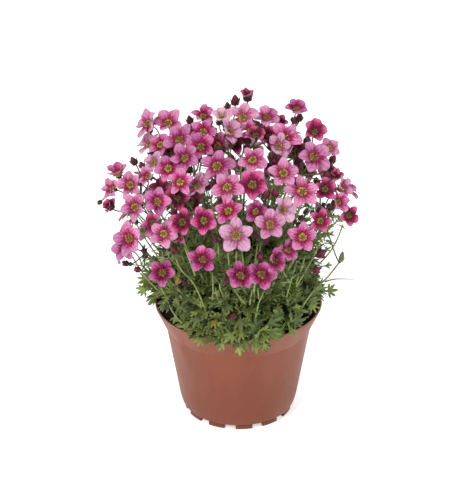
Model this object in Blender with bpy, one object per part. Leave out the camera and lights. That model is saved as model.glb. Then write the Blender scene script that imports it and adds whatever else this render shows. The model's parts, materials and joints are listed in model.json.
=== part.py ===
# Potted mossy saxifrage: a plastic pot, its soil, one leafy plant body with its flower
# stems, and the flower heads that stand on the stems.
# Metres, +Z up, front towards -Y, origin at the middle of the pot's underside.

import itertools
import math
import random

import bmesh
import bpy
from mathutils import Matrix, Vector
from mathutils.bvhtree import BVHTree

# Pot: a turned shell with a flared rim band and a rounded foot, on a ring of feet and a
# middle pad. The foot's outside and inside are given as radius and height.
POT_HEIGHT = 0.0845
RIM_RADIUS = 0.0598
BAND_FOOT_RADIUS = 0.0525
BAND_HEIGHT = 0.0165
WALL_TOP_RADIUS = 0.0519
POT_WALL = 0.0015
FOOT_HEIGHT = 0.0028
FOOT_OUTER = 0.0390
FOOT_INNER = 0.0362
FOOT_CURVE = [(0.0390, 0.0036), (0.0409, 0.0062), (0.0421, 0.0096)]
INNER_CURVE = [(0.0406, 0.0100), (0.0393, 0.0068), (0.0370, 0.0044)]
PAD_RADIUS = 0.0110
POT_SIDES = 30
FOOT_COUNT = 12
FOOT_GAP_ANGLE = math.radians(12)
FOOT_GAP_TOP = 0.0025
FOOT_GAP_DEPTH = 0.0060
FIRST_GAP_ANGLE = math.radians(261)
DRAIN_RADIUS = 0.0026
DRAIN_CIRCLE = 0.0325
DRAIN_SIDES = 6

# Soil, with the plain hole that the plant's crown stands in
GAP = 0.0003
SOIL_DROP = 0.0080
SOIL_SLOPE_RISE = 0.0010
CROWN_RADIUS = 0.0147
CROWN_DEPTH = 0.0130

# Leafy cushion: heights are over the pot's rim
CORE_PROFILE = [(0.0420, -0.0074), (0.0480, -0.0030), (0.0525, 0.0050), (0.0540, 0.0120),
                (0.0525, 0.0210), (0.0465, 0.0305), (0.0350, 0.0375), (0.0190, 0.0415)]
CORE_TOP = 0.0428
CORE_SIDES = 16
CORE_SWELLS = (0.035, 0.020)
SHOOT_COUNT = 38
SHOOT_RISE = 0.25
SHOOT_LOWEST = 0.0035
SHOOT_SIZES = (1.0, 0.9, 0.8)
SHOOT_RISES = (0.0065, 0.0080, 0.0050, 0.0095)
SHOOT_TURNS = 6
SHOOT_RADIUS = 0.0018
SHOOT_DEPTH = 0.0022
SHOOT_ROOT = 0.0030
LEAF_LENGTH = 0.0195
LEAF_CUP = math.radians(34)
LEAF_DROOP = 0.0030
LEAF_THICKNESS = 0.0008
LEAF_POINTS = [(-36, 0.27), (-21, 0.80), (-9.5, 0.60), (0, 1.0), (9.5, 0.60), (21, 0.80)]

# Flower stems and pedicels
STEM_RADIUS = 0.0008
PEDICEL_RADIUS = 0.0006
STEM_SOURCE_DROP = 0.0450
STUB_LENGTH = 0.0030
BRANCH_START = 0.0016
FORK_REACHES = (0.016, 0.013, 0.020, 0.010, 0.025, 0.030, 0.036)
FORK_SHIFTS = (0.0, 0.004, 0.008, 0.012, 0.016)
PEDICEL_CURLS = (0.45, 0.25, 0.70)

# Blooms
PETAL_THICKNESS = 0.0008
CALYX_DEPTH = 0.0030
CALYX_RADIUS = 0.0013
PETAL_POINTS = [(-36, 0.44), (-21, 1.0), (21, 1.0)]
OPEN_CUP = math.radians(14)
SIDE_CUP = math.radians(22)
BUD_BASE = 0.0024
BUD_TIP = 0.0045
BUD_RADIUS = 0.0024
CLEARANCE = 0.00025

# The dome that the blooms stand on: its middle is over the rim's centre
DOME_RISE = 0.0600
DOME_RADIUS = 0.0850
DOME_HALF_HEIGHT = 0.0750

# The view that the flowers' places were read in, and where it meets the rim's plane
VIEW_ELEVATION = math.radians(27.5)
VIEW_DISTANCE = 1.60
VIEW_CENTRE = (-0.0007, 0.0357)

# Blooms that the front shows: right and up from the rim's centre in the plane of the
# view, radius, and which way the bloom leans. The nearest ones come first.
FRONT_BLOOMS = [
    (-0.0636, 0.1254, 0.0100, "left"), (-0.0496, 0.1257, 0.0103, "face"),
    (-0.0416, 0.1136, 0.0100, "face"), (-0.0381, 0.1012, 0.0096, "face"),
    (-0.0766, 0.0819, 0.0096, "face"), (-0.0734, 0.0662, 0.0100, "face"),
    (-0.0151, 0.0950, 0.0114, "face"), (-0.0079, 0.0802, 0.0100, "face"),
    (-0.0771, 0.0439, 0.0114, "face"), (-0.0016, 0.0462, 0.0111, "face"),
    (0.0535, 0.1014, 0.0107, "face"), (0.0320, 0.0901, 0.0100, "face"),
    (0.0454, 0.0770, 0.0107, "face"), (0.0100, 0.0998, 0.0093, "face"),
    (0.0329, 0.1149, 0.0093, "face"), (0.0411, 0.1360, 0.0071, "up"),
    (0.0539, 0.1196, 0.0086, "right"), (0.0225, 0.0539, 0.0100, "face"),
    (0.0454, 0.0448, 0.0096, "face"), (0.0163, 0.0181, 0.0089, "face"),
    (0.0014, 0.0171, 0.0089, "face"), (-0.0258, 0.0285, 0.0093, "down"),
    (-0.0532, 0.0474, 0.0093, "face"), (0.0783, 0.0602, 0.0068, "face"),
    (0.0032, 0.1294, 0.0114, "up"), (-0.0250, 0.1304, 0.0086, "up"),
    (-0.0398, 0.0554, 0.0086, "face"), (-0.0244, 0.0566, 0.0086, "face"),
    (-0.0414, 0.0841, 0.0089, "face"), (-0.0498, 0.0936, 0.0086, "face"),
    (-0.0574, 0.0701, 0.0100, "face"), (-0.0071, 0.1196, 0.0100, "right"),
    (0.0206, 0.1294, 0.0079, "up"), (0.0304, 0.0639, 0.0093, "right"),
    (0.0735, 0.0802, 0.0071, "right"), (-0.0539, 0.0189, 0.0089, "face"),
    (-0.0072, 0.0635, 0.0093, "face"), (-0.0289, 0.0807, 0.0093, "up"),
    (0.0101, 0.0820, 0.0093, "face"), (0.0615, 0.0791, 0.0071, "face"),
    (0.0582, 0.0564, 0.0071, "face"), (-0.0251, 0.1196, 0.0079, "face"),
    (-0.0118, 0.1296, 0.0079, "up"), (-0.0266, 0.1086, 0.0089, "face"),
    (-0.0857, 0.0896, 0.0079, "left"), (-0.0895, 0.0793, 0.0071, "left"),
    (-0.0632, 0.1107, 0.0086, "left"), (-0.0556, 0.1105, 0.0064, "face"),
    (-0.0600, 0.0981, 0.0071, "left"), (-0.0639, 0.0879, 0.0071, "left"),
    (-0.0600, 0.0543, 0.0079, "left"), (-0.0436, 0.0732, 0.0086, "face"),
    (-0.0807, 0.0371, 0.0100, "face"), (0.0646, 0.1079, 0.0079, "right"),
    (0.0282, 0.1093, 0.0086, "right"), (0.0706, 0.0697, 0.0064, "right"),
    (0.0123, 0.0631, 0.0071, "face"), (0.0247, 0.0280, 0.0079, "right"),
    (0.0349, 0.0353, 0.0071, "right"), (0.0086, 0.1200, 0.0071, "up"),
    (-0.0411, 0.0457, 0.0057, "left"), (0.0123, 0.1171, 0.0071, "up"),
]

# Buds that the front shows, as right, up and scale: the large ones are about to open
FRONT_BUDS = [
    (0.0065, 0.1455, 1.7), (-0.0918, 0.0671, 1.5), (0.0688, 0.0894, 1.5),
    (-0.0743, 0.0984, 1.0), (-0.0685, 0.0955, 0.9), (-0.0024, 0.1414, 1.2),
    (-0.0079, 0.1376, 0.9), (-0.0346, 0.1276, 1.0), (-0.0226, 0.1271, 0.9),
    (-0.0182, 0.1207, 0.9), (-0.0290, 0.1004, 1.0), (-0.0179, 0.0833, 1.0),
    (-0.0461, 0.0624, 1.0), (0.0291, 0.1273, 1.4), (0.0436, 0.1294, 0.9),
    (0.0400, 0.1276, 0.8), (0.0159, 0.1221, 1.0), (0.0487, 0.1131, 1.0),
    (0.0644, 0.0949, 1.0), (0.0669, 0.0996, 1.0), (0.0625, 0.0886, 0.9),
    (0.0156, 0.0781, 1.0), (0.0196, 0.0748, 1.0), (0.0261, 0.0755, 1.0),
    (0.0232, 0.1017, 1.0), (0.0282, 0.1007, 0.9), (-0.0802, 0.0261, 0.8),
    (-0.0718, 0.0217, 0.8), (-0.0459, 0.0354, 1.0), (0.0586, 0.0327, 1.2),
    (0.0556, 0.0214, 1.0), (0.0735, 0.0294, 1.0), (0.0156, 0.0306, 1.0),
]

# Blooms and buds that the front hides, spread over the rest of the dome by a spiral.
# The view's right edge is bare under a height, so none of them stands out there.
BACK_SPIRAL_COUNT = 78
BACK_SPACING = 0.0165
BARE_RIGHT = 0.0620
BARE_BELOW = 0.0640
BACK_BLOOM_RADII = (0.0086, 0.0106)
BACK_BUD_COUNT = 12
BUD_SPACING = 0.0130
HEAD_REACH = 0.030
STEP_BACK = 0.0020
SEED = 41
LEAF_SEED = 11

GOLDEN_ANGLE = math.pi * (3 - math.sqrt(5))


def clear_scene():
    for item in list(bpy.data.objects):
        bpy.data.objects.remove(item, do_unlink=True)


def make_material(name, colour, roughness):
    material = bpy.data.materials.new(name)
    material.use_nodes = True
    shader = material.node_tree.nodes["Principled BSDF"]
    shader.inputs["Base Color"].default_value = (*colour, 1)
    shader.inputs["Roughness"].default_value = roughness
    shader.inputs["Metallic"].default_value = 0.0
    material.diffuse_color = (*colour, 1)
    return material


def make_object(name, shape, material=None, collection=None):
    verts, faces = shape
    mesh = bpy.data.meshes.new(name)
    mesh.from_pydata([tuple(v) for v in verts], [], faces)
    if material:
        mesh.materials.append(material)
    item = bpy.data.objects.new(name, mesh)
    (collection or bpy.context.scene.collection).objects.link(item)
    return item


# Shapes: each is a list of points and a list of faces

def turned(profile, sides):
    # A closed outline turned round the Z axis; a point on the axis closes to a tip
    verts, rows = [], []
    for radius, height in profile:
        if radius == 0:
            rows.append([len(verts)])
            verts.append(Vector((0, 0, height)))
            continue
        row = []
        for k in range(sides):
            angle = 2 * math.pi * k / sides
            row.append(len(verts))
            verts.append(Vector((radius * math.cos(angle), radius * math.sin(angle), height)))
        rows.append(row)
    faces = []
    for low, high in zip(rows, rows[1:]):
        for k in range(sides):
            a, b = low[k % len(low)], low[(k + 1) % len(low)]
            c, d = high[(k + 1) % len(high)], high[k % len(high)]
            faces.append(tuple(dict.fromkeys((a, b, c, d))))
    return verts, faces


class Body:
    # A closed body grown ring by ring; each ring runs anticlockwise round the growth
    def __init__(self):
        self.verts, self.faces = [], []

    def ring(self, middle, ahead, radius, side, count=3):
        side = (side - ahead * side.dot(ahead)).normalized()
        other = ahead.cross(side)
        first = len(self.verts)
        for n in range(count):
            angle = 2 * math.pi * n / count
            out = side * math.cos(angle) + other * math.sin(angle)
            self.verts.append(middle + out * radius)
        return list(range(first, first + count))

    def foot(self, middle, ahead, radius, count=3):
        ring = self.ring(middle, ahead, radius, ahead.orthogonal(), count)
        self.faces.append(tuple(reversed(ring)))
        return ring

    def join(self, low, high):
        for n in range(len(low)):
            after = (n + 1) % len(low)
            self.faces.append((low[n], low[after], high[after]))
            self.faces.append((low[n], high[after], high[n]))

    def grow(self, ring, points, radii, last_ahead=None):
        middle = sum((self.verts[k] for k in ring), Vector()) / len(ring)
        for k, (point, radius) in enumerate(zip(points, radii)):
            ahead = (points[min(k + 1, len(points) - 1)] - middle).normalized()
            if k == len(points) - 1 and last_ahead:
                ahead = last_ahead
            new = self.ring(point, ahead, radius, self.verts[ring[0]] - middle, len(ring))
            self.join(ring, new)
            ring, middle = new, point
        return ring

    def cap(self, ring):
        self.faces.append(tuple(ring))

    def tip(self, ring, point):
        self.verts.append(point)
        for n in range(len(ring)):
            self.faces.append((ring[n], ring[(n + 1) % len(ring)], len(self.verts) - 1))

    def star(self, ring, frame, outline, thickness):
        # A star-shaped blade on the ring: its outline is in the frame, anticlockwise
        first = len(self.verts)
        count = len(outline)
        centre = first + 2 * count
        for point, away in outline:
            self.verts.append(frame @ point)
        for point, away in outline:
            self.verts.append(frame @ (point - away * thickness))
        self.verts.append(frame.translation.copy())
        back = frame.inverted()
        turns = [math.atan2((back @ self.verts[k]).y, (back @ self.verts[k]).x) for k in ring]
        nearest = []
        for point, away in outline:
            angle = math.atan2(point.y, point.x)
            nearest.append(min(range(len(ring)), key=lambda n: -math.cos(turns[n] - angle)))
        for k in range(count):
            after = (k + 1) % count
            top, top_after, low, low_after = first + k, first + after, first + count + k, first + count + after
            self.faces.append((centre, top, top_after))
            self.faces.append((top, low, low_after))
            self.faces.append((top, low_after, top_after))
            near, near_after = ring[nearest[k]], ring[nearest[after]]
            self.faces.append((near, low_after, low))
            if near != near_after:
                self.faces.append((near, near_after, low_after))

    def branch(self, faces, direction):
        # Opens the face that looks most nearly along the direction, as a ring to grow from
        def normal(face):
            a, b, c = (self.verts[k] for k in face)
            return (b - a).cross(c - a).normalized()

        face = max(faces, key=lambda f: normal(f).dot(direction))
        faces.remove(face)
        self.faces.remove(face)
        return list(face), normal(face)

    def shape(self):
        return self.verts, self.faces


def tube(points, radii, sides=3):
    # A stem along the points, with flat ends
    body = Body()
    ring = body.foot(points[0], (points[1] - points[0]).normalized(), radii[0], sides)
    body.cap(body.grow(ring, points[1:], radii[1:]))
    return body.shape()


def bezier(start, bend, end, count):
    points = []
    for k in range(count):
        t = k / (count - 1)
        points.append(start * (1 - t) ** 2 + bend * 2 * t * (1 - t) + end * t * t)
    return points


def frame_at(position, direction, spin=0.0):
    # A frame whose +Z points along the direction
    turn = direction.to_track_quat("Z", "Y").to_matrix().to_4x4() @ Matrix.Rotation(spin, 4, "Z")
    return Matrix.Translation(position) @ turn


def blade_point(reach, angle, cup, droop=0.0):
    # A point of a cupped blade in its star's frame, and the blade's normal there
    flat = Vector((math.cos(angle), math.sin(angle), 0))
    sky = Vector((0, 0, 1))
    point = flat * reach * math.cos(cup) + sky * (reach * math.sin(cup) - droop)
    return point, sky * math.cos(cup) - flat * math.sin(cup)


def petal_outline(radius, cup):
    # Five broad petals, each with the notch before it and two shoulders
    outline = []
    for petal in range(5):
        middle = 2 * math.pi * petal / 5
        for angle, reach in PETAL_POINTS:
            outline.append(blade_point(radius * reach, middle + math.radians(angle), cup))
    return outline


def whorl_outline(radius, draw):
    # Five leaves, each with three pointed lobes; each leaf has its own length and slope
    outline = []
    for leaf in range(5):
        middle = 2 * math.pi * leaf / 5
        size = radius * draw.uniform(0.85, 1.15)
        cup = LEAF_CUP * draw.uniform(0.6, 1.4)
        for k, (angle, reach) in enumerate(LEAF_POINTS):
            slope = LEAF_CUP if k == 0 else cup
            length = (radius if k == 0 else size) * reach
            outline.append(blade_point(length, middle + math.radians(angle), slope,
                                       LEAF_DROOP * reach ** 2))
    return outline


def star_body(frame, outline, depth, stalk_radius, thickness):
    # A bloom or whorl by itself, closed by the foot of its stalk
    body = Body()
    axis = frame.to_3x3() @ Vector((0, 0, 1))
    ring = body.foot(frame.translation - axis * depth, axis, stalk_radius)
    body.star(ring, frame, outline, thickness)
    return body.shape()


def grow_bud(body, ring, bud):
    axis, size = bud["direction"], bud["scale"]
    ring = body.grow(ring, [bud["place"]], [BUD_RADIUS * size], axis)
    body.tip(ring, bud["place"] + axis * BUD_TIP * size)


def bud_body(bud):
    body = Body()
    foot = bud["place"] - bud["direction"] * BUD_BASE * bud["scale"]
    grow_bud(body, body.foot(foot, bud["direction"], PEDICEL_RADIUS), bud)
    return body.shape()


# Room: a shape is grown by the clearance and tested against what already stands

def grown(shape):
    verts, faces = shape
    normals = [Vector() for _ in verts]
    for face in faces:
        a, b, c = (verts[k] for k in face[:3])
        normal = (b - a).cross(c - a)
        if normal.length > 0:
            normal.normalize()
        for k in face:
            normals[k] += normal
    return [v + n.normalized() * CLEARANCE if n.length else v for v, n in zip(verts, normals)], faces


class Room:
    def __init__(self):
        self.taken = []

    def add(self, owner, shape):
        verts, faces = shape
        low = Vector([min(v[k] for v in verts) for k in range(3)])
        high = Vector([max(v[k] for v in verts) for k in range(3)])
        self.taken.append((owner, low, high, BVHTree.FromPolygons(verts, faces)))

    def crossings(self, shape, skip=()):
        verts, faces = grown(shape)
        low = Vector([min(v[k] for v in verts) for k in range(3)])
        high = Vector([max(v[k] for v in verts) for k in range(3)])
        tree = None
        count = 0
        for owner, other_low, other_high, other in self.taken:
            if owner in skip:
                continue
            if any(low[k] > other_high[k] or other_low[k] > high[k] for k in range(3)):
                continue
            tree = tree or BVHTree.FromPolygons(verts, faces)
            if tree.overlap(other):
                count += 1
        return count


# Flowers: where they stand and how they are joined in heads

def view_axes():
    right = Vector((1, 0, 0))
    up = Vector((0, math.sin(VIEW_ELEVATION), math.cos(VIEW_ELEVATION)))
    return right, up, up.cross(right)


def view_eye():
    right, up, ahead = view_axes()
    return Vector((0, 0, POT_HEIGHT)) + right * VIEW_CENTRE[0] + up * VIEW_CENTRE[1] - ahead * VIEW_DISTANCE


def dome_middle():
    return Vector((0, 0, POT_HEIGHT + DOME_RISE))


def in_bare_edge(place):
    # Whether the place is seen where the view's right edge is bare
    right, up, ahead = view_axes()
    sight = place - view_eye()
    seen = view_eye() + sight * (VIEW_DISTANCE / sight.dot(ahead)) - Vector((0, 0, POT_HEIGHT))
    return seen.dot(right) > BARE_RIGHT and seen.dot(up) < BARE_BELOW


def on_dome(across, upward):
    # Where the line of sight through this place in the view first meets the dome
    right, up, ahead = view_axes()
    eye = view_eye()
    ray = (Vector((0, 0, POT_HEIGHT)) + right * across + up * upward - eye).normalized()
    shrink = Matrix.Diagonal((1 / DOME_RADIUS, 1 / DOME_RADIUS, 1 / DOME_HALF_HEIGHT))
    start, step = shrink @ (eye - dome_middle()), shrink @ ray
    square, half = step.dot(step), start.dot(step)
    spread = half * half - square * (start.dot(start) - 1)
    return eye + ray * ((-half - math.sqrt(max(spread, 0))) / square), ray


def outward(point):
    away = point - dome_middle()
    return Vector((away.x / DOME_RADIUS ** 2, away.y / DOME_RADIUS ** 2,
                   away.z / DOME_HALF_HEIGHT ** 2)).normalized()


def facing(point, lean):
    viewer = -view_axes()[2]
    sky = Vector((0, 0, 1))
    away = outward(point)
    leans = {
        "face": away * 0.5 + viewer * 0.7,
        "up": away * 0.2 + viewer * 0.6 + sky * 0.55,
        "left": away * 0.2 + viewer * 0.6 + Vector((-0.6, 0, 0)) + sky * 0.2,
        "right": away * 0.2 + viewer * 0.6 + Vector((0.6, 0, 0)) + sky * 0.2,
        "down": away * 0.6 + viewer * 0.3 - sky * 0.3,
        "back": away * 0.8 + sky * 0.35,
    }
    return leans[lean].normalized()


def place_blooms(room, draw):
    # Each bloom steps back along the line of sight until it is clear of the nearer ones
    blooms = []

    def settle(point, step, radius, lean):
        spin = draw.uniform(0, 2 * math.pi)
        cup = SIDE_CUP if lean in ("up", "left", "right") else OPEN_CUP
        outline = petal_outline(radius, cup * draw.uniform(0.7, 1.6))
        for back in range(34):
            place = point + step * back * STEP_BACK
            direction = facing(place, lean)
            frame = frame_at(place, direction, spin)
            solid = star_body(frame, outline, CALYX_DEPTH, CALYX_RADIUS, PETAL_THICKNESS)
            if not room.crossings(solid):
                break
        room.add(("bloom", len(blooms)), solid)
        blooms.append({"place": place, "direction": direction, "frame": frame,
                       "outline": outline})

    for across, upward, radius, lean in FRONT_BLOOMS:
        point, ray = on_dome(across, upward)
        settle(point, ray, radius, lean)
    viewer = -view_axes()[2]
    for point in dome_spiral(BACK_SPIRAL_COUNT, draw):
        near = min((point - other["place"]).length for other in blooms)
        if outward(point).dot(viewer) > 0.10 or near < BACK_SPACING or in_bare_edge(point):
            continue
        inward = (dome_middle() - point).normalized()
        settle(point, inward, draw.uniform(*BACK_BLOOM_RADII), "back")
    return blooms


def dome_spiral(count, draw):
    points = []
    for k in range(count):
        height = 0.96 - 1.32 * (k + 0.5) / count
        angle = k * GOLDEN_ANGLE
        around = math.sqrt(1 - height * height)
        depth = draw.uniform(0.90, 1.0)
        points.append(dome_middle() + Vector((DOME_RADIUS * around * math.cos(angle),
                                              DOME_RADIUS * around * math.sin(angle),
                                              DOME_HALF_HEIGHT * height)) * depth)
    return points


def place_buds(room, draw, blooms):
    buds = []

    def settle(point, step, scale):
        direction = (outward(point) + Vector((0, 0, 0.8))).normalized()
        for back in range(40):
            bud = {"place": point + step * back * STEP_BACK, "direction": direction, "scale": scale}
            solid = bud_body(bud)
            if not room.crossings(solid):
                room.add(("bud", len(buds)), solid)
                buds.append(bud)
                return

    for across, upward, scale in FRONT_BUDS:
        point, ray = on_dome(across, upward)
        settle(point, ray, scale)
    back_blooms = blooms[len(FRONT_BLOOMS):]
    for k in range(BACK_BUD_COUNT):
        bloom = back_blooms[(k * 2) % len(back_blooms)]
        side = Vector((draw.uniform(-1, 1), draw.uniform(-1, 1), draw.uniform(-0.3, 1))).normalized()
        point = bloom["place"] + side * BUD_SPACING
        settle(point, (dome_middle() - point).normalized(), draw.uniform(0.8, 1.3))
    return buds


def group_heads(blooms, buds):
    # The nearest free pairs share a stem; a bloom left over joins a near pair
    pairs = []
    for a in range(len(blooms)):
        for b in range(a + 1, len(blooms)):
            pairs.append(((blooms[a]["place"] - blooms[b]["place"]).length, a, b))
    heads, free = [], set(range(len(blooms)))
    for length, a, b in sorted(pairs):
        if length < HEAD_REACH and a in free and b in free:
            heads.append({"blooms": [a, b], "buds": []})
            free -= {a, b}
    for single in sorted(free):
        heads.append({"blooms": [single], "buds": []})
    for head in heads:
        places = [blooms[k]["place"] for k in head["blooms"]]
        head["middle"] = sum(places, Vector()) / len(places)
    for k, bud in enumerate(buds):
        near = min(heads, key=lambda h: (h["middle"] - bud["place"]).length + 0.004 * len(h["buds"]))
        near["buds"].append(k)
    return heads


def core_radius(height):
    # The cushion core's radius at this height over the rim, 0 above its top
    rows = CORE_PROFILE + [(0.0, CORE_TOP)]
    if height <= rows[0][1]:
        return rows[0][0]
    for (r0, z0), (r1, z1) in zip(rows, rows[1:]):
        if z0 <= height <= z1:
            return r0 + (r1 - r0) * (height - z0) / (z1 - z0)
    return 0.0


def stem_root(target):
    # The stems spread from one source low in the pot and leave the core on that line
    source = Vector((0, 0, POT_HEIGHT - STEM_SOURCE_DROP))
    line = target - source
    along = 1.0
    for k in range(200):
        along = 1 - k / 200
        point = source + line * along
        if math.hypot(point.x, point.y) < core_radius(point.z - POT_HEIGHT):
            break
    return source + line * along - line.normalized() * 0.006, line.normalized()


def route_head(head, room, blooms, buds):
    # A bud is left out of the head where no place of the fork keeps it clear
    own = [("bloom", k) for k in head["blooms"]] + [("bud", k) for k in head["buds"]]
    best = try_forks(head, own, room, blooms, buds)
    while best[0] and head["buds"]:
        head["buds"].pop()
        best = try_forks(head, own, room, blooms, buds)
    return best


def try_forks(head, own, room, blooms, buds):
    # The fork is tried at several depths and offsets until all of the head is clear
    root, line = stem_root(head["middle"])
    side = line.orthogonal().normalized()
    other = line.cross(side)
    best = None
    for curl, reach, shift in itertools.product(PEDICEL_CURLS, FORK_REACHES, FORK_SHIFTS):
        for turn in range(8 if shift else 1):
            angle = turn * math.pi / 4
            offset = (side * math.cos(angle) + other * math.sin(angle)) * shift
            fork = head["middle"] - line * reach + offset
            rise = ((head["middle"] - fork).normalized() + line).normalized()
            body = head_body(head, fork, rise, curl, blooms, buds)
            stem = stem_tube(root, fork - rise * (STUB_LENGTH + GAP), rise)
            count = 2 * room.crossings(body, own) + 2 * room.crossings(stem, ("stems", ))
            count += min(self_crossings(body), 2)
            if best is None or count < best[0]:
                best = (count, body, stem)
            if not count:
                return best
    return best


def stem_tube(root, top, rise):
    # A stem leaves its root steeply and meets the head's stub in line with it
    length = (top - root).length
    steep = root.lerp(top, 0.55) + Vector((0, 0, 0.06 * length))
    bend = steep.lerp(top - rise * length * 0.4, 0.5)
    path = bezier(root, bend, top - rise * STUB_LENGTH, 3) + [top]
    return tube(path, [STEM_RADIUS] * len(path))


def head_body(head, fork, rise, curl, blooms, buds):
    # The stub runs on as the first pedicel; the others branch from its faces
    body = Body()
    ring = body.foot(fork - rise * STUB_LENGTH, rise, STEM_RADIUS)
    ring = body.grow(ring, [fork], [STEM_RADIUS], rise)
    members = [blooms[k] for k in head["blooms"]] + [buds[k] for k in head["buds"]]
    for number, member in enumerate(members):
        axis = member["direction"]
        is_bud = "scale" in member
        depth = BUD_BASE * member["scale"] if is_bud else CALYX_DEPTH
        end = member["place"] - axis * depth
        bend = end - axis * (end - fork).length * curl
        middle = bezier(fork, bend, end, 3)[1]
        path, radii = [middle, end], [PEDICEL_RADIUS, CALYX_RADIUS]
        if is_bud:
            path, radii = [end], [PEDICEL_RADIUS]
        if number:
            ring, normal = body.branch(forks, (path[0] - fork).normalized())
            centre = sum((body.verts[k] for k in ring), Vector()) / 3
            start = centre + (normal + (path[0] - centre).normalized()).normalized() * BRANCH_START
            path, radii = [start] + path, [PEDICEL_RADIUS] + radii
        ring = body.grow(ring, path, radii, axis)
        if not number:
            forks = body.faces[1:13]
        if is_bud:
            grow_bud(body, ring, member)
        else:
            body.star(ring, member["frame"], member["outline"], PETAL_THICKNESS)
    return body.shape()


def self_crossings(shape):
    verts, faces = shape
    tree = BVHTree.FromPolygons(verts, faces)
    return sum(1 for a, b in tree.overlap(tree) if a < b and not set(faces[a]) & set(faces[b]))


def fuse(name, shapes, material):
    # One union on a collection joins the shapes; only the largest body is kept
    whole = make_object(name, shapes[0], material)
    if len(shapes) > 1:
        others = bpy.data.collections.new(name + "_shapes")
        bpy.context.scene.collection.children.link(others)
        for shape in shapes[1:]:
            make_object(name + "_shape", shape, material, others)
        union = whole.modifiers.new("union", "BOOLEAN")
        union.operation = "UNION"
        union.operand_type = "COLLECTION"
        union.collection = others
        union.solver = "MANIFOLD"
        graph = bpy.context.evaluated_depsgraph_get()
        mesh = bpy.data.meshes.new_from_object(whole.evaluated_get(graph))
        whole.modifiers.clear()
        whole.data = mesh
        for item in list(others.objects):
            bpy.data.objects.remove(item, do_unlink=True)
        bpy.data.collections.remove(others)
    keep_largest_body(whole.data)
    return whole


def keep_largest_body(mesh):
    shape = bmesh.new()
    shape.from_mesh(mesh)
    bmesh.ops.triangulate(shape, faces=shape.faces)
    left, bodies = set(shape.verts), []
    while left:
        reached, edge = set(), [left.pop()]
        while edge:
            vert = edge.pop()
            reached.add(vert)
            for link in vert.link_edges:
                far = link.other_vert(vert)
                if far in left:
                    left.remove(far)
                    edge.append(far)
        bodies.append(reached)
    bodies.sort(key=len)
    for body in bodies[:-1]:
        bmesh.ops.delete(shape, geom=list(body), context="VERTS")
    shape.to_mesh(mesh)
    shape.free()


def pot_profile():
    band_foot = POT_HEIGHT - BAND_HEIGHT
    shelf = band_foot + POT_WALL
    return [
        (0, 0), (PAD_RADIUS, 0), (PAD_RADIUS, FOOT_HEIGHT), (FOOT_INNER, FOOT_HEIGHT),
        (FOOT_INNER, 0), (FOOT_OUTER, 0), *FOOT_CURVE, (WALL_TOP_RADIUS, band_foot),
        (BAND_FOOT_RADIUS, band_foot), (RIM_RADIUS, POT_HEIGHT),
        (RIM_RADIUS - POT_WALL, POT_HEIGHT), (BAND_FOOT_RADIUS - POT_WALL, shelf),
        (WALL_TOP_RADIUS - POT_WALL, shelf), *INNER_CURVE, (0, INNER_CURVE[-1][1]),
    ]


def inner_band(height):
    # The rim band's inner radius at this height
    shelf = POT_HEIGHT - BAND_HEIGHT + POT_WALL
    part = (height - shelf) / (POT_HEIGHT - shelf)
    return BAND_FOOT_RADIUS - POT_WALL + part * (RIM_RADIUS - BAND_FOOT_RADIUS)


def block(size, position, turn):
    verts = []
    for x in (-0.5, 0.5):
        for y in (-0.5, 0.5):
            for z in (-0.5, 0.5):
                verts.append(Vector((x * size[0], y * size[1], z * size[2])))
    faces = [(0, 1, 3, 2), (4, 6, 7, 5), (0, 4, 5, 1), (2, 3, 7, 6), (0, 2, 6, 4), (1, 5, 7, 3)]
    matrix = Matrix.Translation(position) @ Matrix.Rotation(turn, 4, "Z")
    return [matrix @ v for v in verts], faces


def build_pot(material):
    pot = make_object("pot", turned(pot_profile(), POT_SIDES), material)
    cutters = bpy.data.collections.new("pot_cutters")
    bpy.context.scene.collection.children.link(cutters)
    width = 2 * FOOT_OUTER * math.sin(FOOT_GAP_ANGLE / 2)
    for k in range(FOOT_COUNT):
        angle = FIRST_GAP_ANGLE + 2 * math.pi * k / FOOT_COUNT
        along = Vector((math.cos(angle), math.sin(angle), 0))
        gap = block((FOOT_GAP_DEPTH, width, 2 * FOOT_GAP_TOP), along * (FOOT_OUTER + FOOT_INNER) / 2, angle)
        make_object("foot_gap", gap, None, cutters)
        if k % 2 == 0:
            ends = [along * DRAIN_CIRCLE + Vector((0, 0, z)) for z in (0.0, 2 * FOOT_HEIGHT)]
            make_object("drain_hole", tube(ends, [DRAIN_RADIUS] * 2, DRAIN_SIDES), None, cutters)
    cut = pot.modifiers.new("cut", "BOOLEAN")
    cut.operation = "DIFFERENCE"
    cut.operand_type = "COLLECTION"
    cut.collection = cutters
    graph = bpy.context.evaluated_depsgraph_get()
    mesh = bpy.data.meshes.new_from_object(pot.evaluated_get(graph))
    pot.modifiers.clear()
    pot.data = mesh
    for item in list(cutters.objects):
        bpy.data.objects.remove(item, do_unlink=True)
    bpy.data.collections.remove(cutters)
    mesh.shade_smooth()
    mesh.set_sharp_from_angle(angle=math.radians(35))
    return pot


def soil_profile():
    top = POT_HEIGHT - SOIL_DROP
    shelf = POT_HEIGHT - BAND_HEIGHT + POT_WALL + GAP
    edge = inner_band(top) - GAP
    hole_floor = top - CROWN_DEPTH
    foot = [(radius - 2 * GAP, height + GAP) for radius, height in (INNER_CURVE[-1], INNER_CURVE[0])]
    return [
        (0, foot[0][1]), *foot, (WALL_TOP_RADIUS - POT_WALL - 2 * GAP, shelf),
        (BAND_FOOT_RADIUS - POT_WALL - GAP, shelf), (edge, top + SOIL_SLOPE_RISE),
        (edge - 0.0025, top - 0.0006), (edge - 0.0060, top), (CROWN_RADIUS + GAP, top),
        (CROWN_RADIUS + GAP, hole_floor - GAP), (0, hole_floor - GAP),
    ]


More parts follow.
